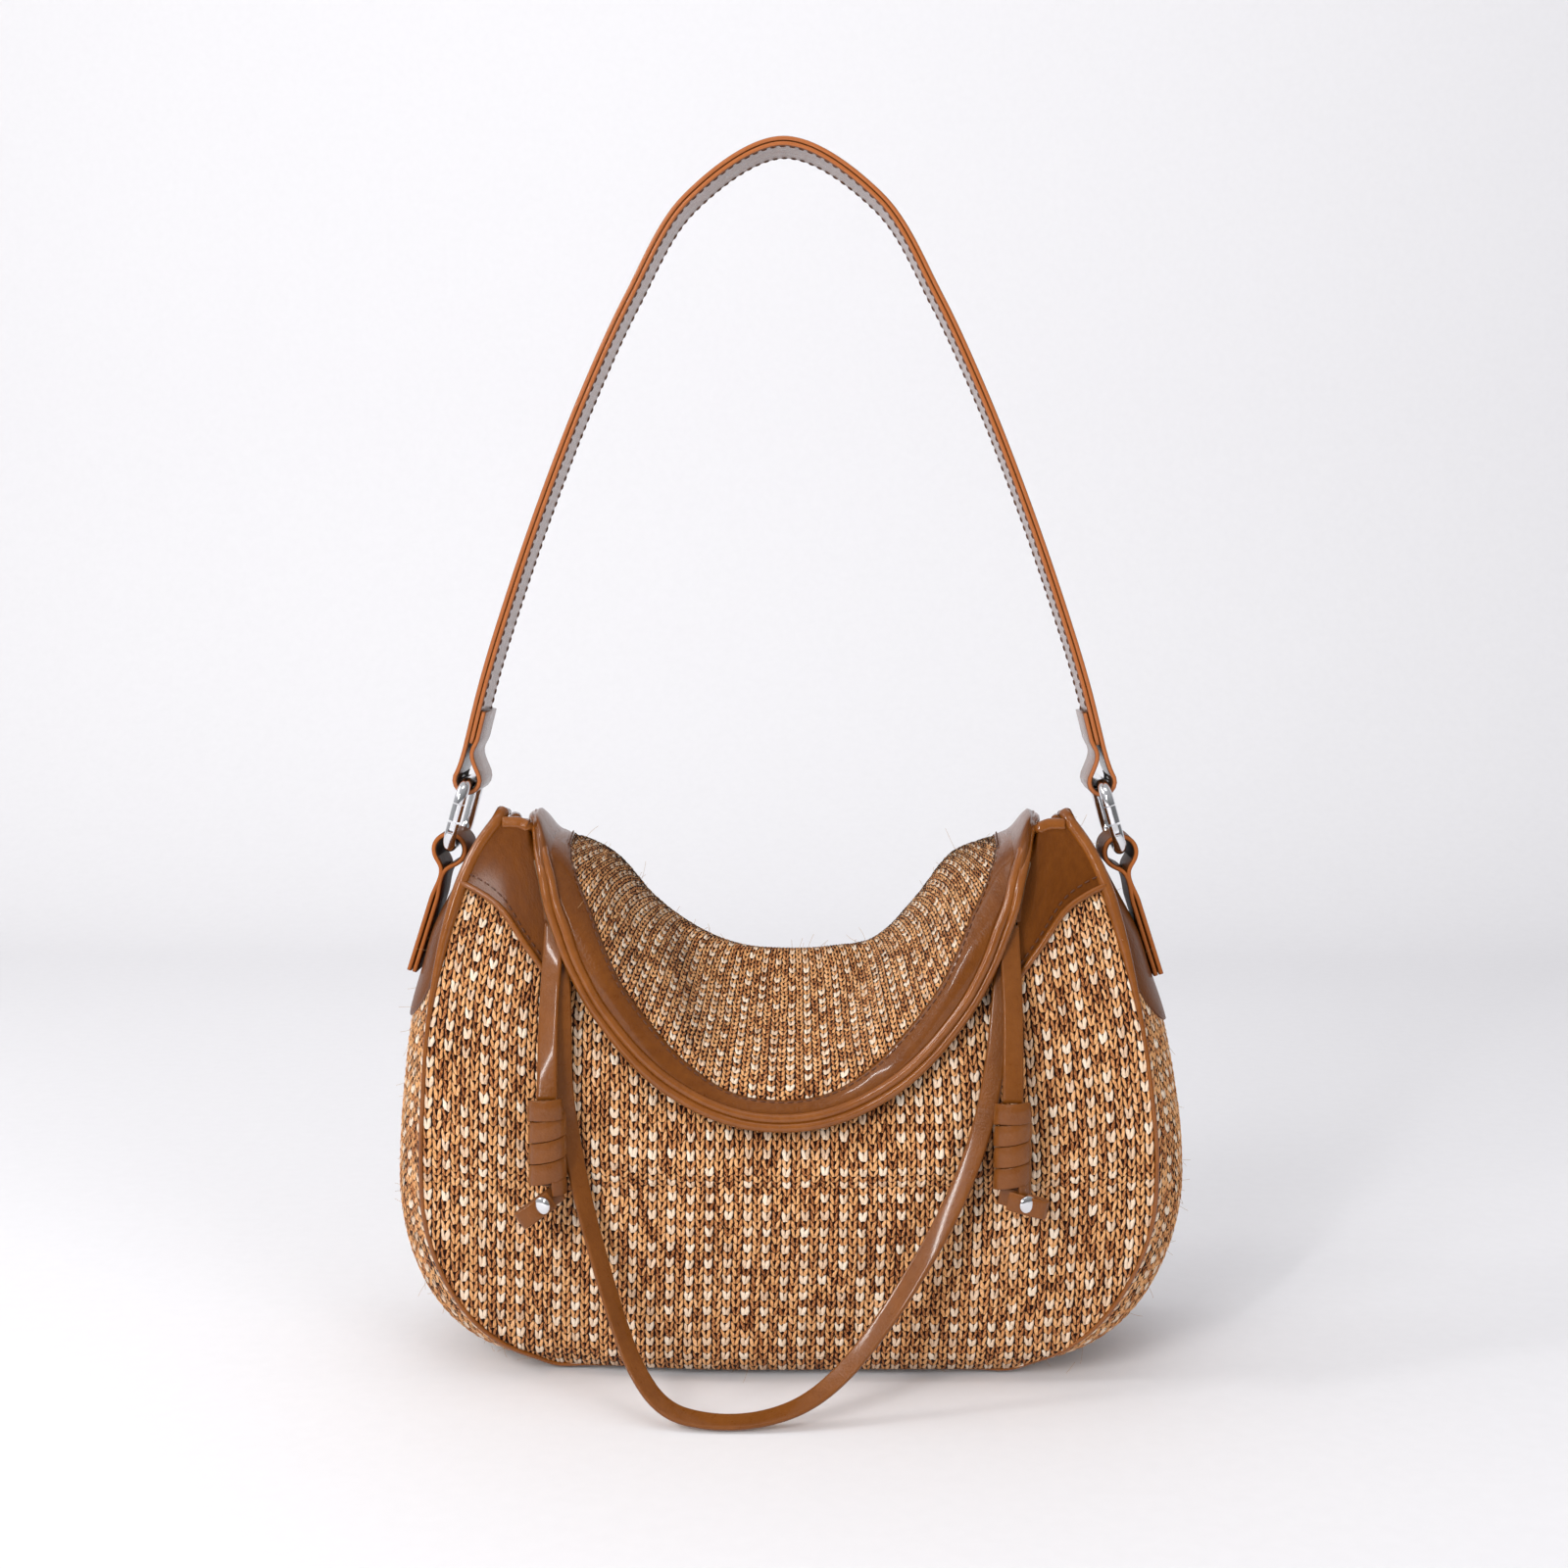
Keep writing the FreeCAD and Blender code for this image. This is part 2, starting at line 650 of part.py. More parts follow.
def ribbon(path, thickness):
    """Closed side view of a strip of leather that follows a line."""
    one, other = [], []
    for i, point in enumerate(path):
        along = path[min(i + 1, len(path) - 1)] - path[max(i - 1, 0)]
        normal = Vec(-along.y, along.x, 0).normalize() * (thickness / 2)
        one.append(point + normal)
        other.append(point - normal)
    outline = one + other[::-1]
    return [Part.LineSegment(a, b) for a, b in zip(outline, outline[1:] + outline[:1])]


def flat(point):
    return Vec(point.x, point.z, 0)


def flipped(points):
    return [Vec(-p.x, p.y, 0) for p in points]


def tab_path():
    """Up the sewn outer layer, round the ring's lower bar and down the inner layer."""
    bar = flat(ring_point(0))
    down = Vec(math.sin(TAB_SLOPE), -math.cos(TAB_SLOPE), 0)
    across = Vec(-down.y, down.x, 0)
    half = LEATHER / 2 + 0.1
    legs = [bar + down * reach for reach in (size("tab_length"), 30.0, 17.0)]
    first = [p - across * half for p in legs]
    last = [p + across * half for p in legs[::-1]]
    return first + loop_path(bar, down, LEATHER) + last


TAB_SLOPE = math.radians(size("tab_slope"))
side_pad("ring_tab_right", ribbon(tab_path(), LEATHER), "Sizes.tab_width")
side_pad("ring_tab_left", ribbon(flipped(tab_path()), LEATHER), "Sizes.tab_width")


def arch_line(depth, count=22):
    """A line inside the strap's outer face, from the right leg over the top to the left."""
    outline = [Vec(x, z, 0) for x, z in ARCH] + [Vec(-x, z, 0) for x, z in ARCH[-2::-1]]
    curve = Part.BSplineCurve()
    curve.interpolate(outline)
    first, last = curve.FirstParameter, curve.LastParameter
    points = []
    for i in range(count + 1):
        at = first + (last - first) * i / count
        tangent = curve.tangent(at)[0]
        points.append(curve.value(at) + Vec(-tangent.y, tangent.x, 0) * depth)
    return points


def fold_path():
    """The strap's end: up inside the leg, from the loop to where it is sewn down."""
    bar = flat(ring_point(TALL))
    leg = arch_line(LAYER)[0]
    loop = loop_path(bar, (leg - bar).normalize(), LAYER)
    if loop[0].x > loop[-1].x:
        loop = loop[::-1]
    line = arch_line(LAYER * 2.5 + GAP)
    step = (line[1] - line[0]).normalize()
    return [line[0] + step * size("fold_rise"), line[0] + step * 2.0] + loop


LAYER = size("strap_layer")
outer_path = fold_path() + arch_line(LAYER * 0.5) + flipped(fold_path())[::-1]
side_pad("strap_outer", ribbon(outer_path, LAYER), "Sizes.strap_width")
side_pad("strap_inner", ribbon(arch_line(LAYER * 1.5 + 0.05), LAYER), "Sizes.strap_width")


# ---------------------------------------------------------------- lace, keepers, knots
keeper_w, keeper_h = size("keeper_width"), size("keeper_height")


def keeper(sign):
    """A short leather bridge that the lace is threaded behind."""
    plate = Part.makeBox(keeper_w, LEATHER, keeper_h, Vec(-keeper_w, -LEATHER, -keeper_h) / 2)
    plate = plate.makeFillet(LEATHER * 0.4, plate.Edges)
    plate.Placement = FreeCAD.Placement(Vec(sign * 93, -36.4, 192.6),
                                        FreeCAD.Rotation(ACROSS, -14))
    return plate


feature("lace_keeper_right", keeper(1))
feature("lace_keeper_left", keeper(-1))

LACE = size("lace_tube_dia")
feature("lace_loop", tube(LOOP, LACE, "lace_loop"))
tail = tube(TAIL, LACE, "lace_tail")
feature("lace_tail_right", tail)
feature("lace_tail_left", mirrored(tail))

KNOT_R, KNOT_L = size("knot_dia") / 2, size("knot_length")
KNOT_TOP = Vec(TAIL[-1][0], TAIL[-1][1], TAIL[-1][2] - 0.9)


def knot():
    barrel = Part.makeCylinder(KNOT_R, KNOT_L, KNOT_TOP - UP * KNOT_L, UP)
    return barrel.makeFillet(2.0, [barrel.Edges[0], barrel.Edges[2]])


knot_solid = knot()
feature("lace_knot_right", knot_solid)
feature("lace_knot_left", mirrored(knot_solid))
rivet_r = size("rivet_dia") / 2
rivet_outline = [(0, 0), (rivet_r * 0.5, 0), (rivet_r * 0.5, 1.6), (rivet_r, 1.6),
                 (rivet_r, 2.2), (rivet_r * 0.55, 3.0), (0, 3.2)]
for sign, label in ((1, "right"), (-1, "left")):
    at = Vec(sign * (KNOT_TOP.x + 2), KNOT_TOP.y - KNOT_R - 0.1, KNOT_TOP.z - KNOT_L + 4.0)
    turned(f"knot_rivet_{label}", rivet_outline,
           FreeCAD.Placement(at, FreeCAD.Rotation(ACROSS, 90)))

# ---------------------------------------------------------------- check and write
doc.recompute()
for obj in doc.Objects:
    if "Invalid" in obj.State or "Error" in obj.State:
        raise RuntimeError(f"{obj.Name} is {obj.State}")
for obj in parts:
    if obj.Shape.isNull() or not obj.Shape.isValid() or obj.Shape.Volume <= 0:
        raise RuntimeError(f"{obj.Label} has no valid solid")
os.makedirs("parts", exist_ok=True)
for obj in parts:
    obj.Shape.exportStep(f"parts/{obj.Label}.step")
    print(obj.Label, len(obj.Shape.Solids), "%.0f mm3" % obj.Shape.Volume)
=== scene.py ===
"""Hobo bag in knitted straw with leather trim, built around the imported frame.

Sizes are in millimetres, in the frame's axes: X across the bag, -Y to the front, Z up.
"""
import math

import bpy
import numpy as np
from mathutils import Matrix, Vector


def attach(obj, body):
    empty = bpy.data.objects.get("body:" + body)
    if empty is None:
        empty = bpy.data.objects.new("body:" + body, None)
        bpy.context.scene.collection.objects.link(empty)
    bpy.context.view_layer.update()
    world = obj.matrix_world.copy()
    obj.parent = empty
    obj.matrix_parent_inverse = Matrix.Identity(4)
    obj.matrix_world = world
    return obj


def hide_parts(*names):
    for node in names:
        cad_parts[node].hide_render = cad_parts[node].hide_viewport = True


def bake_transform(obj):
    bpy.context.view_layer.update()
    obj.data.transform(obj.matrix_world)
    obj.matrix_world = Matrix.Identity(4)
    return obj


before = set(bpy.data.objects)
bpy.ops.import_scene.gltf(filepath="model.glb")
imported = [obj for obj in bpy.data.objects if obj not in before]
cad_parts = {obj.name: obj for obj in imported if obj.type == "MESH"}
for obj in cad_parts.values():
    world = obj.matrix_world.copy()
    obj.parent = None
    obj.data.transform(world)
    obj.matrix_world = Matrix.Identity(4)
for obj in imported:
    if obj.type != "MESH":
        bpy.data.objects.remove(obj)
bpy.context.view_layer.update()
MM = 0.001
rng = np.random.default_rng(7)

# ---------------- driving sizes
COLUMN, ROW = 3.85, 3.4              # one knitted stitch, across and up
FINE, ROW_STEPS = 4, 3               # mesh points to a stitch, across and up
KNIT_PROUD = 0.85                    # how far a stitch's legs stand out
# A stitch's leg, in stitches: where it is thickest, how far it tapers from there,
# how far from the column's middle it starts, its slant and its half width
LEG_MIDDLE, LEG_REACH, LEG_START, LEG_SLANT, LEG_WIDTH = 0.56, 0.76, 0.22, 0.46, 0.38
LEG_HEIGHTS = (1.0, 0.84)            # the leg of this row, and the one that shows below it
LEATHER = 1.6
LACE_WIDTH, LACE_THICK = 8.2, 1.8
STRAP_WIDTH, STRAP_THICK = 28.0, 1.9
HANDS = (("right", 1), ("left", -1))
SIDES = (("front", -1), ("back", 1))

# Half seam outline of the body, bottom to top:
# height, seam half width, seam half depth, panel bulge, gusset bulge
BODY = np.array([
    (3.0, 95.0, 37.0, 5.5, 3.0), (7.0, 102.0, 41.0, 6.5, 7.0), (12.0, 112.0, 44.0, 7.0, 12.0),
    (20.0, 123.0, 46.0, 7.2, 16.5), (32.0, 133.0, 48.0, 7.6, 19.0), (48.0, 141.5, 49.5, 8.0, 19.0),
    (68.0, 147.5, 50.0, 9.0, 17.5), (92.0, 149.0, 49.0, 9.0, 16.0), (120.0, 147.5, 46.5, 8.0, 14.5),
    (148.0, 144.5, 43.0, 6.0, 12.5), (172.0, 139.5, 38.0, 4.5, 9.0), (190.0, 134.5, 34.0, 3.5, 6.5),
    (204.0, 130.0, 30.0, 2.5, 4.5), (218.0, 123.5, 25.0, 1.5, 3.0), (228.0, 116.5, 21.0, 1.0, 2.0)])
# Right half of the flap: across, ridge height, lower edge height,
# then the depth of its fold, its middle and its lower edge
FLAP = np.array([
    (0.0, 171.0, 107.5, 16.0, 38.0, 58.0), (20.0, 172.5, 110.0, 16.0, 38.5, 57.5),
    (40.0, 178.5, 118.5, 17.0, 41.0, 56.5), (56.0, 188.5, 130.0, 19.0, 44.5, 55.0),
    (70.0, 200.0, 145.5, 21.0, 45.5, 53.0), (82.0, 209.5, 163.5, 23.0, 43.0, 50.5),
    (91.0, 216.5, 184.0, 25.0, 39.5, 47.5), (97.0, 221.5, 204.0, 26.0, 35.5, 43.5),
    (101.5, 226.0, 219.0, 19.0, 24.0, 30.0), (104.5, 231.0, 230.0, 6.0, 9.0, 12.0)])
FLAP_END, COVERED = FLAP[-1, 0], 104.0    # half widths of the flap and of the cloth under it
FLAP_ROOT = 9.0                      # depth of the line the flap turns about
CORNER_TOP = {-1: 228.0, 1: 221.5}   # height of the open corners, front and back
# Half of the strap's outer line, from the ring to the top of the arch
ARCH = [(132.5, 260.0), (126.5, 283.0), (113.5, 323.5), (99.0, 363.5), (83.0, 403.0),
        (64.5, 442.0), (40.0, 482.0), (0.0, 504.5)]
# The lace's long loop, left keeper to right keeper, lying on the floor in the middle
LOOP = [(-91, -39.4, 187), (-89.8, -42.2, 176.5), (-88.4, -50.5, 162), (-87.4, -55.5, 144),
        (-87, -58.5, 124), (-83.5, -59.5, 103), (-79, -63, 82), (-72.5, -69, 61),
        (-65, -77, 40), (-56, -87, 20), (-44, -94.5, 6.5), (-27, -97, 3.0), (-8, -96.5, 3.4),
        (10, -94, 8.5), (25, -89, 19), (39, -83.5, 35), (52, -77.5, 53), (64, -71, 72),
        (74, -65, 92), (81.5, -60, 113), (85.8, -56, 135), (88.2, -50.5, 156),
        (89.8, -43.5, 172), (91, -39.6, 184)]
# One free end of the lace, from its keeper down to the knot
TAIL = [(91.6, -41.8, 188.5), (92.0, -45.4, 177), (92.6, -54, 160), (92.4, -61.5, 141), (92, -67, 122)]

# ---------------- camera
camera_data = bpy.data.cameras.new("Camera")
camera_data.lens = 48.3
camera_data.sensor_width = 36.0
camera = bpy.data.objects.new("Camera", camera_data)
camera.location = (0.025, -0.880, 0.330)
camera.rotation_euler = (math.radians(84.25), 0.0, math.radians(1.63))
bpy.context.collection.objects.link(camera)
bpy.context.scene.camera = camera
bpy.context.scene.view_settings.view_transform = "Standard"


# ---------------- shapes as arrays
def smooth(places, values):
    """A smooth curve through values at rising places, level beyond both ends."""
    places, values = np.asarray(places, float), np.asarray(values, float)
    slopes = np.gradient(values, places, axis=0)

    def at(x):
        x = np.clip(np.asarray(x, float), places[0], places[-1])
        i = np.clip(np.searchsorted(places, x, side="right") - 1, 0, len(places) - 2)
        step = places[i + 1] - places[i]
        t = (x - places[i]) / step
        if values.ndim > 1:
            step, t = step[..., None], t[..., None]
        return ((2 * t ** 3 - 3 * t ** 2 + 1) * values[i] + (t ** 3 - 2 * t ** 2 + t) * step * slopes[i]
                + (3 * t ** 2 - 2 * t ** 3) * values[i + 1] + (t ** 3 - t ** 2) * step * slopes[i + 1])
    return at


def unit(v):
    """Directions of length 1."""
    return v / np.maximum(np.linalg.norm(v, axis=-1, keepdims=True), 1e-9)


def ramp(x, low, high):
    """0 at low and 1 at high, soft at both ends."""
    t = np.clip((x - low) / (high - low), 0.0, 1.0)
    return t * t * (3 - 2 * t)


def hump(x, middle, width):
    """1 at the middle, falling softly to both sides."""
    return np.exp(-((x - middle) / width) ** 2)


def lengths(points):
    """Distance of each point along its line."""
    steps = np.linalg.norm(np.diff(points, axis=0), axis=1)
    return np.concatenate([[0.0], np.cumsum(steps)])


def resampled(points, step):
    """The same line with its points a fixed step apart."""
    points = np.asarray(points, float)
    along = lengths(points)
    count = max(3, int(round(along[-1] / step)) + 1)
    return smooth(along, points)(np.linspace(0.0, along[-1], count))


def tangents(line):
    return unit(np.gradient(line, axis=0))


def grid_normals(grid):
    return unit(np.cross(np.gradient(grid, axis=1), np.gradient(grid, axis=0)))


def grid_faces(rows, columns, closed=False):
    index = np.arange(rows * columns).reshape(rows, columns)
    if closed:
        index = np.concatenate([index, index[:, :1]], axis=1)
    return np.stack([index[:-1, :-1], index[:-1, 1:], index[1:, 1:], index[1:, :-1]], -1).reshape(-1, 4)


def tube_faces(rows, columns):
    """Faces of a closed tube of points, with a cap at each end."""
    caps = [list(range(columns))[::-1], [(rows - 1) * columns + i for i in range(columns)]]
    return grid_faces(rows, columns, closed=True).tolist() + caps


def sheet(grid, width, height):
    """A grid of points as a sheet of that size in the material's uv."""
    rows, columns = grid.shape[:2]
    u, v = np.meshgrid(np.linspace(0, width, columns), np.linspace(0, height, rows))
    return grid, grid_faces(rows, columns), np.stack([u, v], -1)


def add_mesh(name, points, faces, uv, material):
    """A smooth mesh object from millimetre points; uv has one pair for each point."""
    mesh = bpy.data.meshes.new(name)
    faces = faces.tolist() if isinstance(faces, np.ndarray) else faces
    mesh.from_pydata((np.asarray(points, float).reshape(-1, 3) * MM).tolist(), [], faces)
    loops = np.empty(len(mesh.loops), int)
    mesh.loops.foreach_get("vertex_index", loops)
    layer = mesh.uv_layers.new(name="Surface")
    layer.data.foreach_set("uv", np.asarray(uv, float).reshape(-1, 2)[loops].ravel())
    mesh.polygons.foreach_set("use_smooth", [True] * len(mesh.polygons))
    mesh.validate()
    mesh.update()
    obj = bpy.data.objects.new(name, mesh)
    bpy.context.collection.objects.link(obj)
    mesh.materials.append(material)
    return obj


def joined(parts):
    """Points, faces and uv of several meshes as one."""
    points, faces, uvs, start = [], [], [], 0
    for p, f, t in parts:
        p = np.asarray(p, float).reshape(-1, 3)
        points.append(p)
        faces += [[i + start for i in face] for face in (f.tolist() if isinstance(f, np.ndarray) else f)]
        uvs.append(np.asarray(t, float).reshape(-1, 2))
        start += len(p)
    return np.concatenate(points), faces, np.concatenate(uvs)


def sweep(line, side, normal, profile, grow=1.0):
    """A closed profile (across, out) carried along a line; grow scales it at each point."""
    line, side, normal = (np.asarray(a, float) for a in (line, side, normal))
    profile = np.asarray(profile, float)
    size = np.broadcast_to(np.asarray(grow, float), (len(line), 2))
    across = profile[None, :, 0] * size[:, :1]
    out = profile[None, :, 1] * size[:, 1:]
    grid = line[:, None] + side[:, None] * across[..., None] + normal[:, None] * out[..., None]
    u, v = np.meshgrid(lengths(profile), lengths(line))
    return grid, tube_faces(*grid.shape[:2]), np.stack([u, v], -1)


def band_profile(width, thick, crown=0.0, soft=0.42):
    """Section of a leather strip: flat underneath, soft edges, and a slight crown on top."""
    w, h, r = width / 2, thick / 2, thick * soft
    corners = [(w - r, h - r, 0), (-w + r, h - r, 90), (-w + r, -h + r, 180), (w - r, -h + r, 270)]
    points = []
    for cx, cy, start in corners:
        for a in (0, 30, 60, 90):
            angle = math.radians(start + a)
            points.append((cx + r * math.cos(angle), cy + r * math.sin(angle)))
        if start == 0 and width > 4 * thick:
            points += [(x, h) for x in np.linspace(w - r * 2.2, -w + r * 2.2, 5)]
    return np.array([(x, y + (crown * (1 - (x / w) ** 2) if y > 0 else 0.0)) for x, y in points])


def round_profile(radius, count=14):
    angles = np.linspace(0, 2 * math.pi, count, endpoint=False)
    return np.stack([np.cos(angles) * radius, np.sin(angles) * radius], 1)


def frame_along(line, up):
    """Side and normal directions along a line, with the normal kept near a wanted direction."""
    along = tangents(line)
    up = np.broadcast_to(np.asarray(up, float), line.shape)
    normal = unit(up - along * (up * along).sum(1, keepdims=True))
    return np.cross(along, normal), normal


def tube(line, radius, up=(0, 0, 1), count=14):
    """A round tube along a line; the radius may change along it."""
    side, normal = frame_along(line, up)
    radius = np.broadcast_to(np.asarray(radius, float).reshape(-1, 1), (len(line), 2))
    return sweep(line, side, normal, round_profile(1.0, count), radius)


def stitch_row(line, normal, length=3.1, gap=1.3, radius=0.36, lift=0.18):
    """A row of sewn stitches that lies on a surface, as one mesh."""
    along = lengths(line)
    at, up = smooth(along, line), smooth(along, unit(normal))
    parts = []
    rings = np.array([(-0.5, 0.25), (-0.42, 0.75), (-0.2, 1.0), (0.2, 1.0), (0.42, 0.75), (0.5, 0.25)])
    for start in np.arange(gap, along[-1] - length, length + gap):
        middle = start + length / 2
        centre, n = at(middle), unit(up(middle))
        t = unit(at(middle + 1.0) - at(middle - 1.0))
        s = np.cross(t, n)
        arch = 0.22 * (1 - (rings[:, 0] * 2) ** 2)
        spine = centre + t * (rings[:, :1] * length) + n * (lift + arch[:, None] - 0.1)
        angles = np.linspace(0, 2 * math.pi, 6, endpoint=False)
        ring = (s[None] * np.cos(angles)[:, None] + n[None] * np.sin(angles)[:, None]) * radius
        grid = spine[:, None] + ring[None] * rings[:, 1][:, None, None]
        parts.append((grid, tube_faces(6, 6), np.zeros((36, 2))))
    return joined(parts)


def facing_front(normal):
    """A grid's normals, turned so that the middle one faces the front."""
    middle = normal[len(normal) // 2, normal.shape[1] // 2]
    return normal * np.sign((middle * np.array([0, -1, 0.3])).sum())


# ---------------- the body's surfaces
body_at = smooth(BODY[:, 0], BODY[:, 1:])
flap_across = np.concatenate([-FLAP[:0:-1, 0], FLAP[:, 0]])
flap_values = np.concatenate([FLAP[:0:-1, 1:], FLAP[:, 1:]])
# the ridge has settled unevenly, with a kink on each side of the middle
flap_values[:, 0] += np.interp(flap_across, [-97, -91, -82, -70, -56, -40, -20, 20, 40, 56, 70, 82, 91, 97],
                               [0.5, 3.3, 7.8, 10.2, 5.5, 3, 0.3, -0.5, -1.6, 5, 11.5, 7.7, 3.5, 0.8])
flap_values[[0, -1], 0] = FLAP[-1, 1]
flap_at = smooth(flap_across, flap_values)


def settled(points):
    """The stuffed bag leans a little to the right, most at its widest."""
    moved = np.array(points, float)
    moved[..., 0] += 2.6 * hump(moved[..., 2], 88.0, 62.0)
    return moved


def mirror_x(points):
    """The same points on the other hand."""
    return np.asarray(points) * np.array([-1.0, 1.0, 1.0])


def placed(points, sign):
    """Points of the right half on the wanted hand, with the bag's lean."""
    return settled(points if sign > 0 else mirror_x(points))


def sunk(points):
    """The open corners at the top sit lower at the back than at the front."""
    moved = np.array(points, float)
    moved[..., 2] -= 6.5 * ramp(moved[..., 1], -8.0, 20.0) * ramp(moved[..., 2], 196.0, 229.0)
    return moved


def flap_point(x, t):
    """The flap's outer face: t is 0 at its root and 1 at its lower edge."""
    top, low, fold, middle, out = np.moveaxis(flap_at(x), -1, 0)
    drop = top - low
    knots = np.array([0.0, 0.14, 0.34, 0.62, 1.0])
    ys = np.stack([np.full_like(top, FLAP_ROOT), np.full_like(top, -2.0), -fold, -middle - 1.0, -out], -1)
    zs = np.stack([top - 2.5, top + 0.6, top - 0.1 * drop, top - 0.5 * drop, low], -1)
    basis = smooth(knots, np.eye(5))(t)
    y, z = (basis * ys).sum(-1), (basis * zs).sum(-1)
    # two folds converge from the ridge towards the lower edge, each with a swelling beside it
    inner = ramp(t, 0.1, 0.4) * ramp(t, 1.0, 0.75)
    away, at = abs(x + 2.0), 50.0 - 27.0 * t
    crease = 8.0 * ramp(away, at + 6.0, at - 6.0) * ramp(t, 0.80, 0.42)
    crease -= 2.6 * hump(away, at + 9.0, 7.0) * ramp(t, 0.95, 0.6)
    crease -= 1.5 * hump(x, 0.0, 16.0) * ramp(t, 0.62, 0.82)
    return np.stack([x, y + inner * crease, z + 0 * x], -1)


def under_flap(x, z):
    """Depth of the flap's underside at a place on the front."""
    top, low, fold, middle, out = np.moveaxis(flap_at(np.clip(x, -COVERED, COVERED)), -1, 0)
    drop = top - low
    upper = -fold + (-middle + fold) * (top - 0.1 * drop - z) / (0.4 * drop)
    lower = -middle + (-out + middle) * (top - 0.5 * drop - z) / (0.5 * drop)
    y = np.where(z > top - 0.5 * drop, np.minimum(upper, -fold * 0.4), lower)
    return y + 6.0 + 5.0 * ramp(abs(x), 66, 46)


def front_depth(x, z):
    """Depth of the front: its bulge, the sag across it, soft waves and the flap's press."""
    half, depth, bulge, _ = np.moveaxis(body_at(z), -1, 0)
    y = -(depth + bulge * (1 - np.clip(x / half, -1, 1) ** 2))
    sag = ramp(abs(x), 118, 60)
    y += 1.7 * hump(z, 84.0 - 3.0 * (x / 100) ** 2, 4.5) * sag
    y -= 1.2 * hump(z, 96.0, 6.0) * sag
    y += 1.0 * np.sin(x / 23.0 + z / 31.0) * np.sin(z / 27.0 + 1.0) * ramp(abs(x), 140, 110)
    # the flap presses the cloth in where the two would meet
    lean = np.where(abs(x) < COVERED, under_flap(x, z) - y, -40.0)
    return y + np.log1p(np.exp(np.clip(lean / 2.0, -20, 20))) * 2.0


def back_depth(x, z):
    """Depth of the back, which leans in to the line the flap turns about."""
    half, depth, bulge, _ = np.moveaxis(body_at(z), -1, 0)
    y = depth + bulge * (1 - np.clip(x / half, -1, 1) ** 2)
    ridge = flap_at(np.clip(x, -FLAP_END, FLAP_END))[..., 0]
    lean = ramp(z, ridge - 85.0, ridge + 4.0) ** 1.3
    y = y + (FLAP_ROOT - y) * lean * ramp(abs(x), 116.0, 98.0)
    return y + 1.0 * np.sin(x / 29.0 + 2.0) * np.sin(z / 24.0) * ramp(abs(x), 140, 100)


def on_cloth(x, z, side, lift=0.0):
    """Places a lift above the cloth of the front (-1) or back (1)."""
    depth = front_depth(x, z) if side < 0 else back_depth(x, z)
    return np.stack([x, depth + side * lift, z], -1)


def mouth_height(x, side):
    """Top edge of the front (-1) or back (1)."""
    top, low = np.moveaxis(flap_at(np.clip(x, -FLAP_END, FLAP_END)), -1, 0)[:2]
    edge = top - (0.46 * (top - low) * ramp(abs(x), 97, 70) + 6.0 if side < 0 else 1.0)
    return np.where(abs(x) < 101.0, edge, CORNER_TOP[side])


def leg_height(u, v):
    """Relief of plain knitting: two slanting legs to a stitch, u in columns and v in rows."""
    a = abs(2 * (u - np.floor(u)) - 1)
    best = np.zeros_like(a)
    for row in (0, 1):
        y = v - np.floor(v) + row
        taper = np.sqrt(np.clip(1 - ((y - LEG_MIDDLE) / LEG_REACH) ** 2, 0, 1))
        d = (a - LEG_START - LEG_SLANT * y) / (LEG_WIDTH * taper + 1e-3)
        best = np.maximum(best, np.sqrt(np.clip(1 - d * d, 0, 1)) * taper * LEG_HEIGHTS[row])
    return best


def knit_mesh(surface, u, v, keep=None, flip=False):
    """Knitted cloth: surface is a smooth grid, u and v its stitch numbers."""
    normal = grid_normals(surface) * (-1 if flip else 1)
    wild = 0.85 + 0.3 * np.sin(u * 1.7 + 3 * np.sin(v * 0.9)) * np.sin(v * 2.3 + u * 0.6)
    grid = surface + normal * ((leg_height(u, v) - 0.6) * KNIT_PROUD * wild)[..., None]
    faces = grid_faces(*u.shape)
    if keep is not None:
        faces = faces[keep.ravel()[faces].any(1)]
    return grid, faces, np.stack([u, v], -1)


def tidy_mesh(points, faces, uv):
    """Leaves out points that no face uses."""
    points, uv, faces = points.reshape(-1, 3), uv.reshape(-1, 2), np.asarray(faces)
    used = np.unique(faces)
    place = np.zeros(len(points), int)
    place[used] = np.arange(len(used))
    return points[used], place[faces], uv[used]


# ---------------- materials
def maths(operation, swapped=False):
    """A method that joins a value and others, in one order or the other, in a maths node."""
    def method(self, *others):
        return self.make(operation, *((*others, self) if swapped else (self, *others)))
    return method


class Maths:
    """A shader value that ordinary arithmetic turns into maths nodes."""
    __add__, __radd__ = maths("ADD"), maths("ADD", swapped=True)
    __sub__, __rsub__ = maths("SUBTRACT"), maths("SUBTRACT", swapped=True)
    __mul__, __rmul__ = maths("MULTIPLY"), maths("MULTIPLY", swapped=True)
    __truediv__, __lt__, __gt__ = maths("DIVIDE"), maths("LESS_THAN"), maths("GREATER_THAN")
    above, floor, abs, sine = maths("MAXIMUM"), maths("FLOOR"), maths("ABSOLUTE"), maths("SINE")

    def __init__(self, tree, socket):
        self.tree, self.socket = tree, socket

    def make(self, operation, *inputs):
        node = self.tree.nodes.new("ShaderNodeMath")
        node.operation = operation
        for place, value in zip(node.inputs, inputs):
            if isinstance(value, Maths):
                self.tree.links.new(value.socket, place)
            else:
                place.default_value = value
        return Maths(self.tree, node.outputs[0])

    def root(self):
        return self.make("SQRT", self.above(0.0))

    def odd(self):
        """1 for an odd whole number and 0 for an even one, from -1000 up."""
        return self.make("MODULO", self + 1000.0, 2.0)


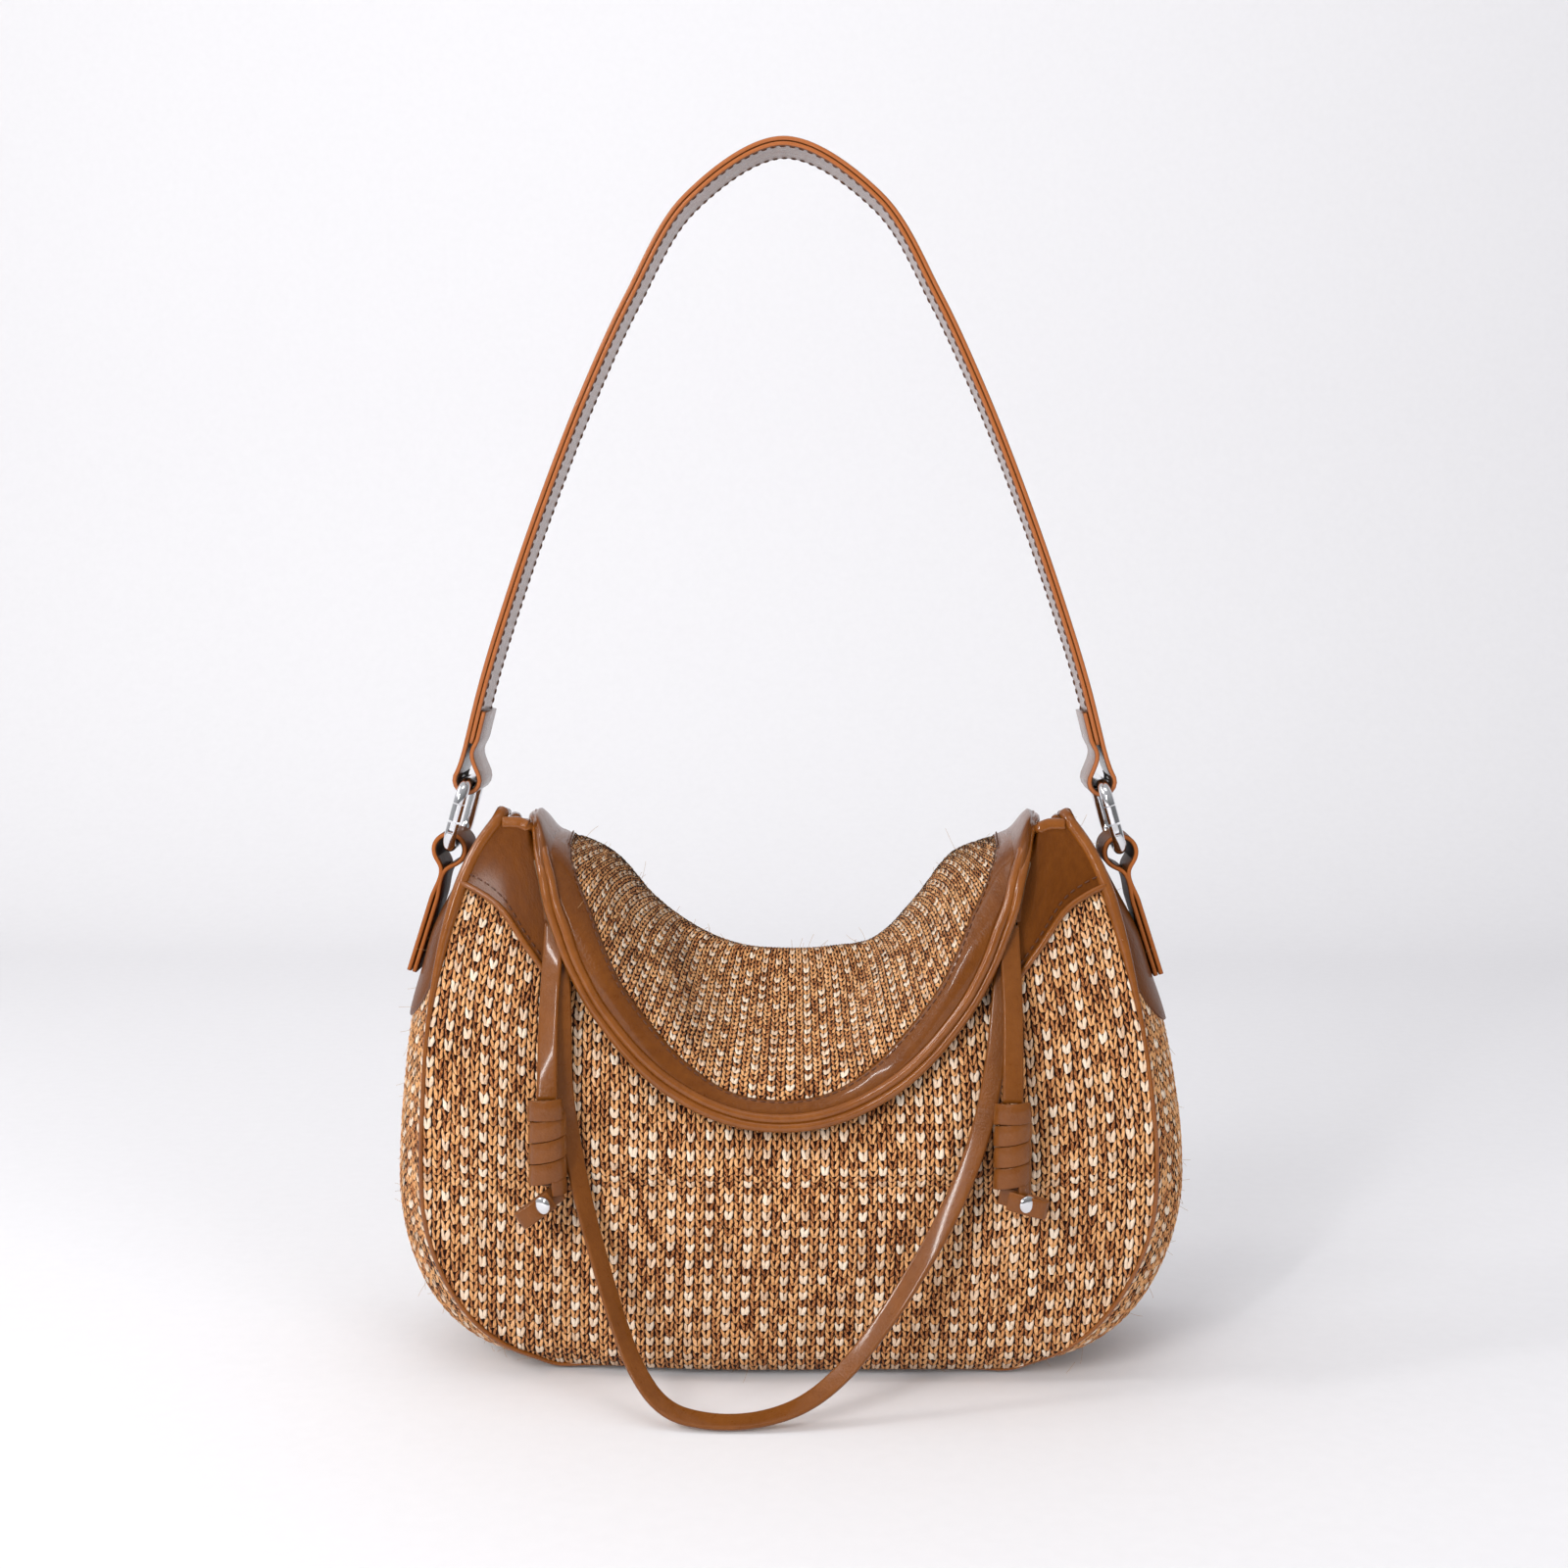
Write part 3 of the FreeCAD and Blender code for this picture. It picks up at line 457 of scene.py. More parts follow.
class Look:
    """A material being built."""

    def __init__(self, name):
        self.material = bpy.data.materials.new(name)
        self.material.use_nodes = True
        self.tree = self.material.node_tree
        self.tree.nodes.clear()
        self.shader = self.tree.nodes.new("ShaderNodeBsdfPrincipled")
        output = self.tree.nodes.new("ShaderNodeOutputMaterial")
        self.tree.links.new(self.shader.outputs[0], output.inputs[0])

    def feed(self, place, value):
        """Links a value to an input, or sets a constant on the input itself."""
        if isinstance(value, Maths):
            value = value.socket
        if isinstance(value, bpy.types.NodeSocket):
            self.tree.links.new(value, place)
        else:
            place.default_value = value

    def node(self, kind, **inputs):
        node = self.tree.nodes.new(kind)
        for key, value in inputs.items():
            self.feed(node.inputs[key.replace("_", " ")], value)
        return node

    def value(self, socket):
        return Maths(self.tree, socket)

    def random(self, *place):
        """A fixed random number for each stitch."""
        keys = dict(zip("XYZ", place))
        cell = self.node("ShaderNodeCombineXYZ", **keys)
        return self.value(self.node("ShaderNodeTexWhiteNoise", Vector=cell.outputs[0]).outputs["Value"])

    def uv(self):
        return self.node("ShaderNodeTexCoord").outputs["UV"]

    def noise(self, vector, scale, detail=3.0, rough=0.55, stretch=(1, 1, 1)):
        if stretch != (1, 1, 1):
            vector = self.node("ShaderNodeMapping", Vector=vector, Scale=stretch).outputs[0]
        node = self.node("ShaderNodeTexNoise", Vector=vector, Scale=scale, Detail=detail, Roughness=rough)
        return self.value(node.outputs[0])

    def colours(self, value, stops):
        """A colour that depends on a value: stops are (place, colour)."""
        node = self.tree.nodes.new("ShaderNodeValToRGB")
        ends = node.color_ramp.elements
        while len(ends) < len(stops):
            ends.new(0.5)
        for end, (place, colour) in zip(ends, stops):
            end.position = place
            end.color = (*colour, 1.0)
        self.tree.links.new(value.socket, node.inputs[0])
        return node.outputs[0]

    def mix(self, share, one, other):
        node = self.tree.nodes.new("ShaderNodeMix")
        node.data_type = "RGBA"
        for place, value in ((0, share), (6, one), (7, other)):
            self.feed(node.inputs[place], (*value, 1.0) if isinstance(value, tuple) else value)
        return node.outputs[2]

    def set(self, **inputs):
        for key, value in inputs.items():
            self.feed(self.shader.inputs[key.replace("_", " ")], value)

    def bump(self, height, strength, distance):
        node = self.node("ShaderNodeBump", Strength=strength, Distance=distance, Height=height)
        self.tree.links.new(node.outputs[0], self.shader.inputs["Normal"])


def knit_look():
    """Straw yarn with paler stitches set in and painted shade in the gaps between legs; uv counts columns and
    rows.
    """
    look = Look("Knitted straw")
    uv = look.uv()
    parts = look.node("ShaderNodeSeparateXYZ", Vector=uv)
    wander = look.noise(uv, 1.1, 2.0)
    sway = look.noise(uv, 0.35, 1.0, stretch=(1.0, 0.7, 1.0))
    u = look.value(parts.outputs[0]) + (sway - 0.5) * 0.35 + (wander - 0.5) * 0.34
    v = look.value(parts.outputs[1]) + (look.noise(uv, 1.4, 2.0, stretch=(1.0, 0.8, 3.0)) - 0.5) * 0.55
    column = u.floor()
    chance = look.random(column, 0.0)
    v = v + (chance - 0.5) * 0.34
    a = (u - column) * 2.0 - 1.0
    side = a > 0.0
    a = a.abs()
    row = v.floor()
    heights, creams = [], []
    for nearer in (0, 1):
        cream = (column.odd() < 0.5) * ((row - float(nearer)).odd() < 0.5)
        cream = cream * (look.random(column, row - float(nearer)) > 0.17)
        y = v - row + float(nearer)
        off = (y - LEG_MIDDLE) * (1 / LEG_REACH)
        taper = (1.0 - off * off).above(0.0)
        width = look.random(column, row - float(nearer), side) * 0.12 + 0.32 + cream * 0.08
        d = (a - LEG_START - y * (LEG_SLANT - cream * 0.10)) / (taper.root() * width + 0.001)
        heights.append((1.0 - d * d).root() * taper.root() * LEG_HEIGHTS[nearer] * (1.0 + cream * 0.12))
        creams.append(cream)
    upper = heights[0] > heights[1]
    height = heights[0].above(heights[1])
    cream = creams[0] * upper + creams[1] * (1.0 - upper)
    tone = look.random(column, row - (1.0 - upper), side)
    strand = look.noise(uv, 3.4, 4.0, 0.75, stretch=(3.0, 1.0, 1.0))
    patch = look.noise(uv, 0.09, 2.0)
    mixed = tone * 0.5 + (strand - 0.5) * 1.7 + 0.22 + (patch - 0.5) * 0.35
    straw = look.colours(mixed, [(0.10, (0.12, 0.028, 0.007)), (0.28, (0.42, 0.150, 0.048)),
                                 (0.46, (0.63, 0.290, 0.118)), (0.64, (0.73, 0.370, 0.140)),
                                 (0.82, (0.82, 0.490, 0.290))])
    pale = look.colours(strand * 0.7 + tone * 0.3, [(0.25, (0.54, 0.32, 0.18)),
                                                    (0.44, (0.76, 0.57, 0.41)),
                                                    (0.72, (0.88, 0.75, 0.61))])
    yarn = look.mix(cream * (look.random(column, row) * 0.4 + 0.6), straw, pale)
    # painted shade: where the legs are low, between the stitches, the colour goes to near black in place of
    # the shade that falls there
    gap = look.colours(height + (strand - 0.5) * 0.35, [(0.34, (1.0, 1.0, 1.0)),
                                                        (0.70, (0.0, 0.0, 0.0))])
    look.set(Base_Color=look.mix(look.value(gap), yarn, (0.012, 0.002, 0.0005)), Roughness=0.8)
    look.set(Specular_IOR_Level=0.12, Sheen_Weight=0.03, Sheen_Roughness=0.5)
    look.bump(height * 1.0 + strand * 0.35, 0.9, 0.0012)
    return look.material


def leather_look(name, dark, light, rough=0.30, coat=0.45, cut=None, shine=0.22):
    """Leather between two colours; cut is the colour of the edges of a thick strip."""
    look = Look(name)
    uv = look.uv()
    cloud = look.noise(uv, 0.035, 3.0)
    mottle = look.noise(uv, 0.22, 4.0, 0.6)
    colour = look.colours(cloud * 0.55 + mottle * 0.45, [(0.30, dark), (0.70, light)])
    if cut:
        facing = look.node("ShaderNodeSeparateXYZ", Vector=look.node("ShaderNodeTexCoord").outputs["Normal"])
        sideways = look.value(facing.outputs[1]).abs()
        at_edge = look.colours(sideways, [(0.55, (0, 0, 0)), (0.75, (1, 1, 1))])
        colour = look.mix(at_edge, colour, cut)
    look.set(Base_Color=colour)
    fine = look.noise(uv, 1.5, 4.0, 0.65)
    pores = look.node("ShaderNodeTexVoronoi", Vector=uv, Scale=0.95)
    wrinkle = look.noise(uv, 0.16, 3.0, 0.6)
    height = fine * 0.5 + look.value(pores.outputs["Distance"]) * 0.5 + wrinkle * 1.6
    look.set(Roughness=(mottle - 0.5) * 0.16 + (fine - 0.5) * 0.12 + rough)
    look.set(Specular_IOR_Level=shine, Coat_Weight=coat, Coat_Roughness=0.10, Coat_IOR=1.45)
    look.bump(height, 0.5, 0.00034)
    return look.material


def plain_look(name, colour, rough, metallic=0.0, bump=0.0, spread=0.12):
    """One slightly clouded colour."""
    look = Look(name)
    where = look.node("ShaderNodeTexCoord").outputs["Object"]
    cloud = look.noise(where, 140.0, 4.0)
    low = tuple(c * (1 - spread) for c in colour)
    high = tuple(min(1.0, c * (1 + spread)) for c in colour)
    look.set(Base_Color=look.colours(cloud, [(0.3, low), (0.7, high)]), Metallic=metallic)
    look.set(Roughness=(cloud - 0.5) * 0.12 + rough)
    if bump:
        look.bump(look.noise(where, 1800.0, 2.0), bump, 0.0001)
    return look.material


def cloth_look():
    """Plain woven cotton."""
    look = Look("Cotton lining")
    parts = look.node("ShaderNodeSeparateXYZ", Vector=look.uv())
    warp, weft = (look.value(parts.outputs[i]) for i in (0, 1))
    weave = (warp * 7.0).sine() * (weft * 7.0).sine()
    cloud = look.noise(look.uv(), 0.08, 3.0)
    colour = look.colours(cloud, [(0.3, (0.20, 0.125, 0.07)), (0.7, (0.25, 0.16, 0.095))])
    look.set(Base_Color=colour, Roughness=0.85)
    look.bump(weave, 0.25, 0.0002)
    return look.material


KNIT_LOOK = knit_look()
TRIM_COLOURS = (0.096, 0.025, 0.0016), (0.152, 0.045, 0.004)
CUT_EDGE = (0.33, 0.100, 0.026)
CARAMEL = leather_look("Caramel leather", *TRIM_COLOURS)
PATCH = leather_look("Patch leather", (0.080, 0.020, 0.001), (0.130, 0.037, 0.003), rough=0.40, coat=0.12,
                     shine=0.12)
EDGE = leather_look("Rolled leather edge", (0.150, 0.042, 0.004), (0.220, 0.068, 0.009), rough=0.20, coat=0.7)
STRAP_LOOK = leather_look("Strap leather", (0.105, 0.031, 0.005), (0.150, 0.046, 0.009), cut=CUT_EDGE)
TAB_LOOK = leather_look("Tab leather", *TRIM_COLOURS, rough=0.5, coat=0.06, cut=CUT_EDGE, shine=0.06)
LACE_LOOK = leather_look("Lace leather", (0.120, 0.034, 0.003), (0.175, 0.054, 0.007))
# the flesh side's dark colour is partly its own and partly painted shade for the insides of the loops round
# the rings
FLESH_AND_SHADE = plain_look("Leather flesh side and painted shade", (0.050, 0.022, 0.010), 0.9, bump=0.2)
THREAD = plain_look("Sewing thread", (0.085, 0.030, 0.013), 0.6)
METAL = plain_look("Polished steel", (0.78, 0.78, 0.80), 0.14, metallic=1.0, spread=0.04)
BOARD = plain_look("Stiffener board", (0.24, 0.20, 0.15), 0.85, bump=0.3)
COTTON = cloth_look()
FIBRE = plain_look("Loose fibre", (0.42, 0.24, 0.11), 0.8)


def piece(name, mesh, material, body="bag", nodes=()):
    """A visible piece that rides on a body; a piece of the flap or of a tab stays unattached where it is
    built.
    """
    obj = add_mesh(name, *mesh, material)
    if body == "flap":
        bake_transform(obj)
    elif body == "tab":
        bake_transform(obj)
    else:
        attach(obj, body)
    if nodes:
        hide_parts(*nodes)
    return obj


# ---------------- knitted front and back
PANEL_TOP, WIDEST_AT = 229.0, 92.0   # heights of the panel's top and of its widest place
PANEL_COLUMNS = 41                   # stitches from the middle to one side


def panel_grid(side):
    """The knitted front (-1) or back (1), row by row from the base to the mouth."""
    rows = []
    z, number = BODY[0, 0], 0.0
    while z < PANEL_TOP:
        rows.append((z, number))
        squeeze = 1 - 0.30 * hump(z, 86.0, 5.0) * (side < 0)    # the front's sag
        z += ROW * squeeze / ROW_STEPS
        number += 1 / ROW_STEPS
    z, v = np.array(rows).T
    uu, vv = np.meshgrid(np.arange(-PANEL_COLUMNS * FINE, PANEL_COLUMNS * FINE + 1) / FINE, v)
    zz = np.broadcast_to(z[:, None], uu.shape).copy()
    half = body_at(zz)[..., 0]
    narrow = np.where(zz > WIDEST_AT, (half / BODY[:, 1].max()) ** 0.7, 1.0)
    xx = uu * COLUMN * narrow
    inside = abs(xx) < half
    xx = np.clip(xx, -half, half)
    top = mouth_height(xx, side)
    below = zz <= top
    zz = np.minimum(zz, top)
    if side < 0:   # the rows climb towards the two upper corners
        past = abs(xx) - 60.0
        climb = 0.36 * 0.5 * (past + np.hypot(past, 14.0)) / ROW
        vv = vv - climb * np.clip((zz - 12.0) / 165.0, 0.0, 1.0)
    surface = settled(on_cloth(xx, zz, side))
    return knit_mesh(surface, uu + 0.5, vv, keep=inside & below, flip=side > 0)


for name, side in SIDES:
    piece(f"knit_{name}", tidy_mesh(*panel_grid(side)), KNIT_LOOK, nodes=[f"{name}_panel"])

# ---------------- gusset, one half each side
UNDER = 9                            # the seam's places under the base
GUSSET_COLUMNS = 25
seam_half = np.tile(BODY[0, [1, 0, 2, 4]], (UNDER, 1))
seam_half[:, 0] = np.linspace(0, 80, UNDER)
seam_half = np.concatenate([seam_half, BODY[:, [1, 0, 2, 4]]])
seam_along = lengths(seam_half[:, :2])
seam_at = smooth(seam_along, seam_half)
# the gusset bulges downwards under the base and sideways higher up
turning = [0.08, 0.25, 0.45, 0.62, 0.78, 0.9, 0.97]
turn_at = smooth(seam_along, np.concatenate([np.zeros(UNDER), turning, np.ones(len(BODY) - len(turning))]))
SEAM_END = seam_along[-1]


def gusset_point(s, w, lift=0.0):
    """A place on the right gusset: s along its seam from under the base, w from front to back."""
    x, z, depth, bulge = np.moveaxis(seam_at(s), -1, 0)
    turn = turn_at(s) * math.pi / 2
    out = (bulge + 1.8 * hump(z, 182.0, 13.0)) * (1 - abs(w) ** 2.4) + lift
    return sunk(np.stack([x + np.sin(turn) * out, w * depth, np.maximum(z - np.cos(turn) * out, 0.35)], -1))


ss, ww = np.meshgrid(np.arange(0.0, SEAM_END, ROW / ROW_STEPS),
                     np.linspace(-1, 1, GUSSET_COLUMNS * FINE + 1), indexing="ij")
columns = np.broadcast_to(np.arange(ww.shape[1]) / FINE, ss.shape)
for hand, sign in HANDS:
    mesh = knit_mesh(placed(gusset_point(ss, ww), sign), columns, ss / ROW, flip=sign < 0)
    piece(f"knit_gusset_{hand}", mesh, KNIT_LOOK, nodes=[f"gusset_{hand}"])

# ---------------- flap
# evenly spaced places along its lower edge
edge_x = np.linspace(0.1 - FLAP_END, FLAP_END - 0.1, 900)
edge_along = lengths(flap_point(edge_x, np.ones_like(edge_x)))
edge_s = np.linspace(0, edge_along[-1], 261)
edge_x = np.interp(edge_s, edge_along, edge_x)
edge_dir = tangents(flap_point(edge_x, np.ones_like(edge_x)))


def flap_frame(x, t):
    """Place, outward normal and the two surface slopes of the flap."""
    place = flap_point(x, t)
    by_x = (flap_point(x + 0.3, t) - flap_point(x - 0.3, t)) / 0.6
    more, less = np.clip(t + 0.004, 0, 1), np.clip(t - 0.004, 0, 1)
    by_t = (flap_point(x, more) - flap_point(x, less)) / (more - less)[..., None]
    return place, -unit(np.cross(by_x, by_t)), by_x, by_t


def inward(distance, steps=6):
    """Where the line that runs a distance inside the flap's edge lies, as (x, t)."""
    x, t = edge_x, np.ones_like(edge_x)
    step = np.broadcast_to(distance, x.shape) / steps
    for _ in range(steps):
        _, normal, by_x, by_t = flap_frame(x, t)
        go = unit(np.cross(edge_dir, normal))
        go *= np.sign((go * -by_t).sum(-1, keepdims=True) + 1e-9)
        go = go * step[:, None]
        a, b, c = (by_x * by_x).sum(-1), (by_x * by_t).sum(-1), (by_t * by_t).sum(-1)
        p, q = (go * by_x).sum(-1), (go * by_t).sum(-1)
        det = np.maximum(a * c - b * b, 1e-6)
        x = x + np.clip((p * c - q * b) / det, -step * 1.5, step * 1.5)
        t = np.clip(t + (a * q - b * p) / det, 0.02, 1.0)
    return x, t


# distances inside the edge: its two rolls, and where the leather band starts and ends
ROLL_OUT, ROLL_IN, BAND_START, BAND_END = 1.7, 5.1, 6.4, 16.5
ROLL_RADIUS = 2.0
FLAP_COLUMNS, FLAP_ROW = 94, 2.2


def in_band(distance):
    """A distance across the leather band, which is narrower in the middle of the flap."""
    return BAND_START + (distance - BAND_START) * (1.0 - 0.36 * ramp(abs(edge_x), 66.0, 18.0))


def in_corners():
    """1 at the two ends of the flap's edge, where the leather tucks into the corners."""
    return ramp(abs(edge_x), 90.0, 104.0)


# the knitting fans from the ridge to the band
knit_x, knit_t = inward(in_band(BAND_END - 1.5))
inner_along = lengths(flap_point(knit_x, knit_t))
ridge_x = np.linspace(-90, 90, 400)
ridge_along = lengths(flap_point(ridge_x, np.zeros_like(ridge_x)))
share = np.linspace(0, 1, FLAP_COLUMNS * FINE + 1)
start_x = np.interp(share * ridge_along[-1], ridge_along, ridge_x)
end_x = np.interp(share * inner_along[-1], inner_along, knit_x)
end_t = np.interp(share * inner_along[-1], inner_along, knit_t)
rise = np.linspace(0, 1, 150)[:, None]
fan = flap_point(end_x + (start_x - end_x) * rise, end_t - end_t * rise)
steps = np.linalg.norm(np.diff(fan, axis=0), axis=-1)
vv = np.concatenate([np.zeros((1, len(share))), np.cumsum(steps, axis=0)]) / FLAP_ROW
uu = np.broadcast_to(share * FLAP_COLUMNS + 0.5, vv.shape)
piece("knit_flap", knit_mesh(fan, uu, vv, flip=True), KNIT_LOOK, "flap", ["flap_panel"])

# leather band with its two rolls
strip_rows, strip_v = [], np.linspace(BAND_START, BAND_END, 9)
for distance in strip_v:
    place, normal, _, _ = flap_frame(*inward(in_band(distance) - 2.0 * in_corners()))
    across = (distance - BAND_START + 1.5) / (BAND_END - BAND_START + 1.5)
    strip_rows.append(place + normal * (0.5 + 1.25 * math.sin(math.pi * across) ** 0.6))
strip = np.array(strip_rows)
under = strip - facing_front(grid_normals(strip)) * 0.9
grid = np.transpose(np.concatenate([strip, under[::-1]]), (1, 0, 2))
u, v = np.meshgrid(np.concatenate([strip_v, strip_v[::-1] + 20]), edge_s)
piece("band_leather", (grid, tube_faces(*u.shape), np.stack([u, v], -1)), CARAMEL, "flap", ["flap_band"])

rolls = []
for distance, tuck, lift, reach in ((ROLL_OUT, 0.0, -0.2, 105.2), (ROLL_IN, 2.0, 0.9, 103.6)):
    place, normal, _, _ = flap_frame(*inward(distance - tuck * in_corners()))
    line = (place + normal * lift)[6:-6]
    # each end runs back over the open corner
    end = np.array([(reach - 0.6, line[-1, 1] * 0.45, 228.2), (reach - 1.0, 1.0, 227.8),
                    (reach - 1.6, 8.0, 224.8), (reach - 2.4, 13.0, 220.0)])
    line = resampled(np.concatenate([mirror_x(end[::-1]), line, end]), 1.3)
    to_end = np.minimum(lengths(line), lengths(line)[-1] - lengths(line))
    rolls.append(tube(line, ROLL_RADIUS * (0.4 + 0.6 * ramp(to_end, 0.0, 12.0)), up=(0.0, -0.8, 0.6)))
piece("rolled_edge", joined(rolls), EDGE, "flap", ["flap_rim"])
place, normal, _, _ = flap_frame(*inward(in_band(BAND_END - 1.7)))
piece("band_stitches", stitch_row(place[4:-4], normal[4:-4], 2.6, 1.1, 0.33, lift=1.35), THREAD, "flap")

# leather over each end of the ridge
peaks = []
for sign in (1, -1):
    across, along = np.meshgrid(np.linspace(88.0, FLAP_END + 0.1, 18), np.linspace(0.0, 1.0, 26))
    top = flap_point(across * sign, along)
    peak = 5.4 * hump(across, 99.5, 4.5) - 4.2 * ramp(across, 101.5, FLAP_END + 0.1)
    top[..., 2] += 1.0 + peak * np.sin(np.pi * np.clip(along * 0.95 + 0.1, 0, 1))
    low = top - np.array([0, 0, 1.2])
    skirt = top[:, -1:] + np.linspace(0, 1, 8)[None, :, None] * np.array([-1.0 * sign, 0, -20.0])
    peaks += [sheet(grid, 15, 26) for grid in (top, low, skirt)]
piece("flap_peaks", joined(peaks), CARAMEL, "flap")

# flap lining
grid = flap_point(*np.meshgrid(np.linspace(-100, 100, 90), np.linspace(0.0, 0.985, 30)))
normal = facing_front(grid_normals(grid))
layers = [sheet(grid - normal * depth, 200, 90) for depth in (1.4, 2.0)]
piece("flap_cloth", joined(layers), COTTON, "flap", ["flap_lining"])


# ---------------- piping
def seam_line(side):
    """The whole seam between the front (-1) or back (1) and the gusset."""
    s = np.arange(0.0, SEAM_END, 1.5)
    x, z, depth, _ = np.moveaxis(seam_at(s), -1, 0)
    half = np.stack([x, side * depth, z], -1)
    return np.concatenate([mirror_x(half[:0:-1]), half])


for name, side in SIDES:
    line = seam_line(side)
    over = np.array([(115.2, side * 17.5, 231.0), (113.6, side * 12.0, 230.6)])
    line = sunk(np.concatenate([mirror_x(over[::-1]), line, over]))
    thick = 0.95 + 1.9 * ramp(line[:, 2], 140.0, 205.0)
    thick[[0, -1]] *= 0.5
    line[:, 0] += np.sign(line[:, 0]) * 1.1 * ramp(line[:, 2], 140.0, 200.0)
    line = settled(line)
    piece(f"{name}_welt", tube(line, thick, up=(0, side, 0.01)), EDGE, nodes=[f"{name}_piping"])


# ---------------- leather corner patches
def corner(side, sign):
    """The patch, its rolled edge and its stitch line at one corner."""
    low = smooth([0, 0.2, 0.45, 0.75, 1.0],
                 [(131.5, 203.5), (124.0, 200.0), (114.5, 193.5), (103.5, 178.5), (94.0, 166.0)])
    drop = 6.5 if side > 0 else 0.0
    high = smooth([0, 0.5, 1.0], [(116.4, 228.5 - drop), (109.0, 228.5 - drop), (97.0, 224.0 - drop * 0.6)])
    low, high = (line(np.linspace(0, 1, 34)) for line in (low, high))
    up = np.linspace(0, 1, 26)[:, None]
    x, z = np.moveaxis(low + (high - low) * up[..., None], -1, 0)
    faces = [sheet(placed(on_cloth(x, z, side, lift), sign), 45, 40)
             for lift in (1.1 + 0.4 * np.sin(np.pi * up), 0.1)]
    edge = on_cloth(*low.T, side, 1.5) + [0, 0, 0.2]
    if side > 0:
        inner_edge = np.array([(94.6, 172.0), (95.4, 186.0), (96.4, 200.0), (97.5, 214.0)])
        edge = np.concatenate([edge, on_cloth(*inner_edge.T, side, 1.3)])
    sewn = on_cloth(*(low + unit(high - low) * 4.6).T, side, 1.6)
    return faces, resampled(placed(edge, sign), 1.2), resampled(placed(sewn, sign), 1.5)


for name, side in SIDES:
    for hand, sign in HANDS:
        faces, edge, sewn = corner(side, sign)
        label = f"{name}_corner_{hand}"
        piece(label, joined(faces), PATCH, nodes=[f"{name}_corner_patch_{hand}"])
        piece(label + "_edge", tube(edge, 1.35, up=(0, side, 0.2)), EDGE)
        normal = np.broadcast_to([0.0, side, 0.25], sewn.shape)
        piece(label + "_stitches", stitch_row(sewn, normal, 2.4, 1.2, 0.32), THREAD)

# ---------------- bound edges at the open corners
for hand, sign in HANDS:
    parts = []
    for side in (-1, 1):
        x = np.linspace(97.0, 115.5, 24)
        z = np.interp(x, [97, 109, 116.4], [224.0, 228.5, 228.5]) - (6.0 if side > 0 else 0.0)
        line = placed(on_cloth(x, z, side, 1.0) - [0, 0, 1.2], sign)
        across, normal = frame_along(line, (0, side, 0.3))
        parts.append(sweep(line, across, normal, band_profile(5.0, 2.6, 0.5)))
    line = gusset_point(np.full(30, SEAM_END), np.linspace(-0.98, 0.98, 30), 0.6)
    parts.append(tube(placed(line, sign), 1.9))
    piece(f"corner_binding_{hand}", joined(parts), EDGE)

# ---------------- leather caps over the gusset
CAP_FOOT, CAP_WIDEST, CAP_REACH = 143.0, 166.0, 0.93
s = np.linspace(np.interp(CAP_FOOT, BODY[:, 0], seam_along[UNDER:]), SEAM_END, 60)
w = np.linspace(-1, 1, 31)
# the foot is a round tongue
height = seam_at(s)[:, 1]
tongue = np.sqrt(np.clip(1 - ((CAP_WIDEST - height) / (CAP_WIDEST - CAP_FOOT)) ** 2, 0.0, 1.0))
ss, ww = np.meshgrid(s, w, indexing="ij")
ww = ww * (np.where(height < CAP_WIDEST, tongue, 1.0) * CAP_REACH)[:, None]
base = gusset_point(ss, ww)
out = unit(np.stack([np.ones_like(ss), 0.25 * ww, np.zeros_like(ss)], -1))
top = base + out * (1.5 - 1.3 * abs(w) ** 8)[:, None]
ring = np.concatenate([top, (base + out * 0.2)[:, ::-1]], axis=1)
u, v = np.meshgrid(np.concatenate([w * 35, w[::-1] * 35 + 80]), s)
for hand, sign in HANDS:
    piece(f"gusset_leather_{hand}", (placed(ring, sign), tube_faces(*u.shape), np.stack([u, v], -1)), PATCH,
          nodes=[f"gusset_cap_{hand}"])

# ---------------- mouth binding, lining, pocket
x = np.linspace(-97, 97, 140)
z = mouth_height(x, -1)
line = resampled(on_cloth(x, z, -1, 0.4), 1.5)
piece("mouth_binding", tube(line, 1.9, up=(0, -1, 0.2)), EDGE, nodes=["front_mouth_rim"])

LINING_INSET = 4.6
LINING_ACROSS, LINING_END = 41, 13   # points along the front, and round one end
IN_FRONT = slice(0, LINING_ACROSS)
IN_BACK = slice(LINING_ACROSS + LINING_END, 2 * LINING_ACROSS + LINING_END)


def inside_ring(level):
    """One level of the lining: round the inside of the bag."""
    half, _, _, side_bulge = body_at(level)
    reach = half - LINING_INSET
    x, z = np.linspace(-reach, reach, LINING_ACROSS), np.full(LINING_ACROSS, level)
    front, back = on_cloth(x, z, -1, -LINING_INSET), on_cloth(-x, z, 1, -LINING_INSET)
    a = np.linspace(-1, 1, LINING_END + 2)[1:-1]
    y = front[-1, 1] + (a + 1) / 2 * (back[0, 1] - front[-1, 1])
    right = np.stack([reach + side_bulge * 0.6 * (1 - a ** 2), y, np.full(LINING_END, level)], -1)
    return np.concatenate([front, right, back, mirror_x(right[::-1])])


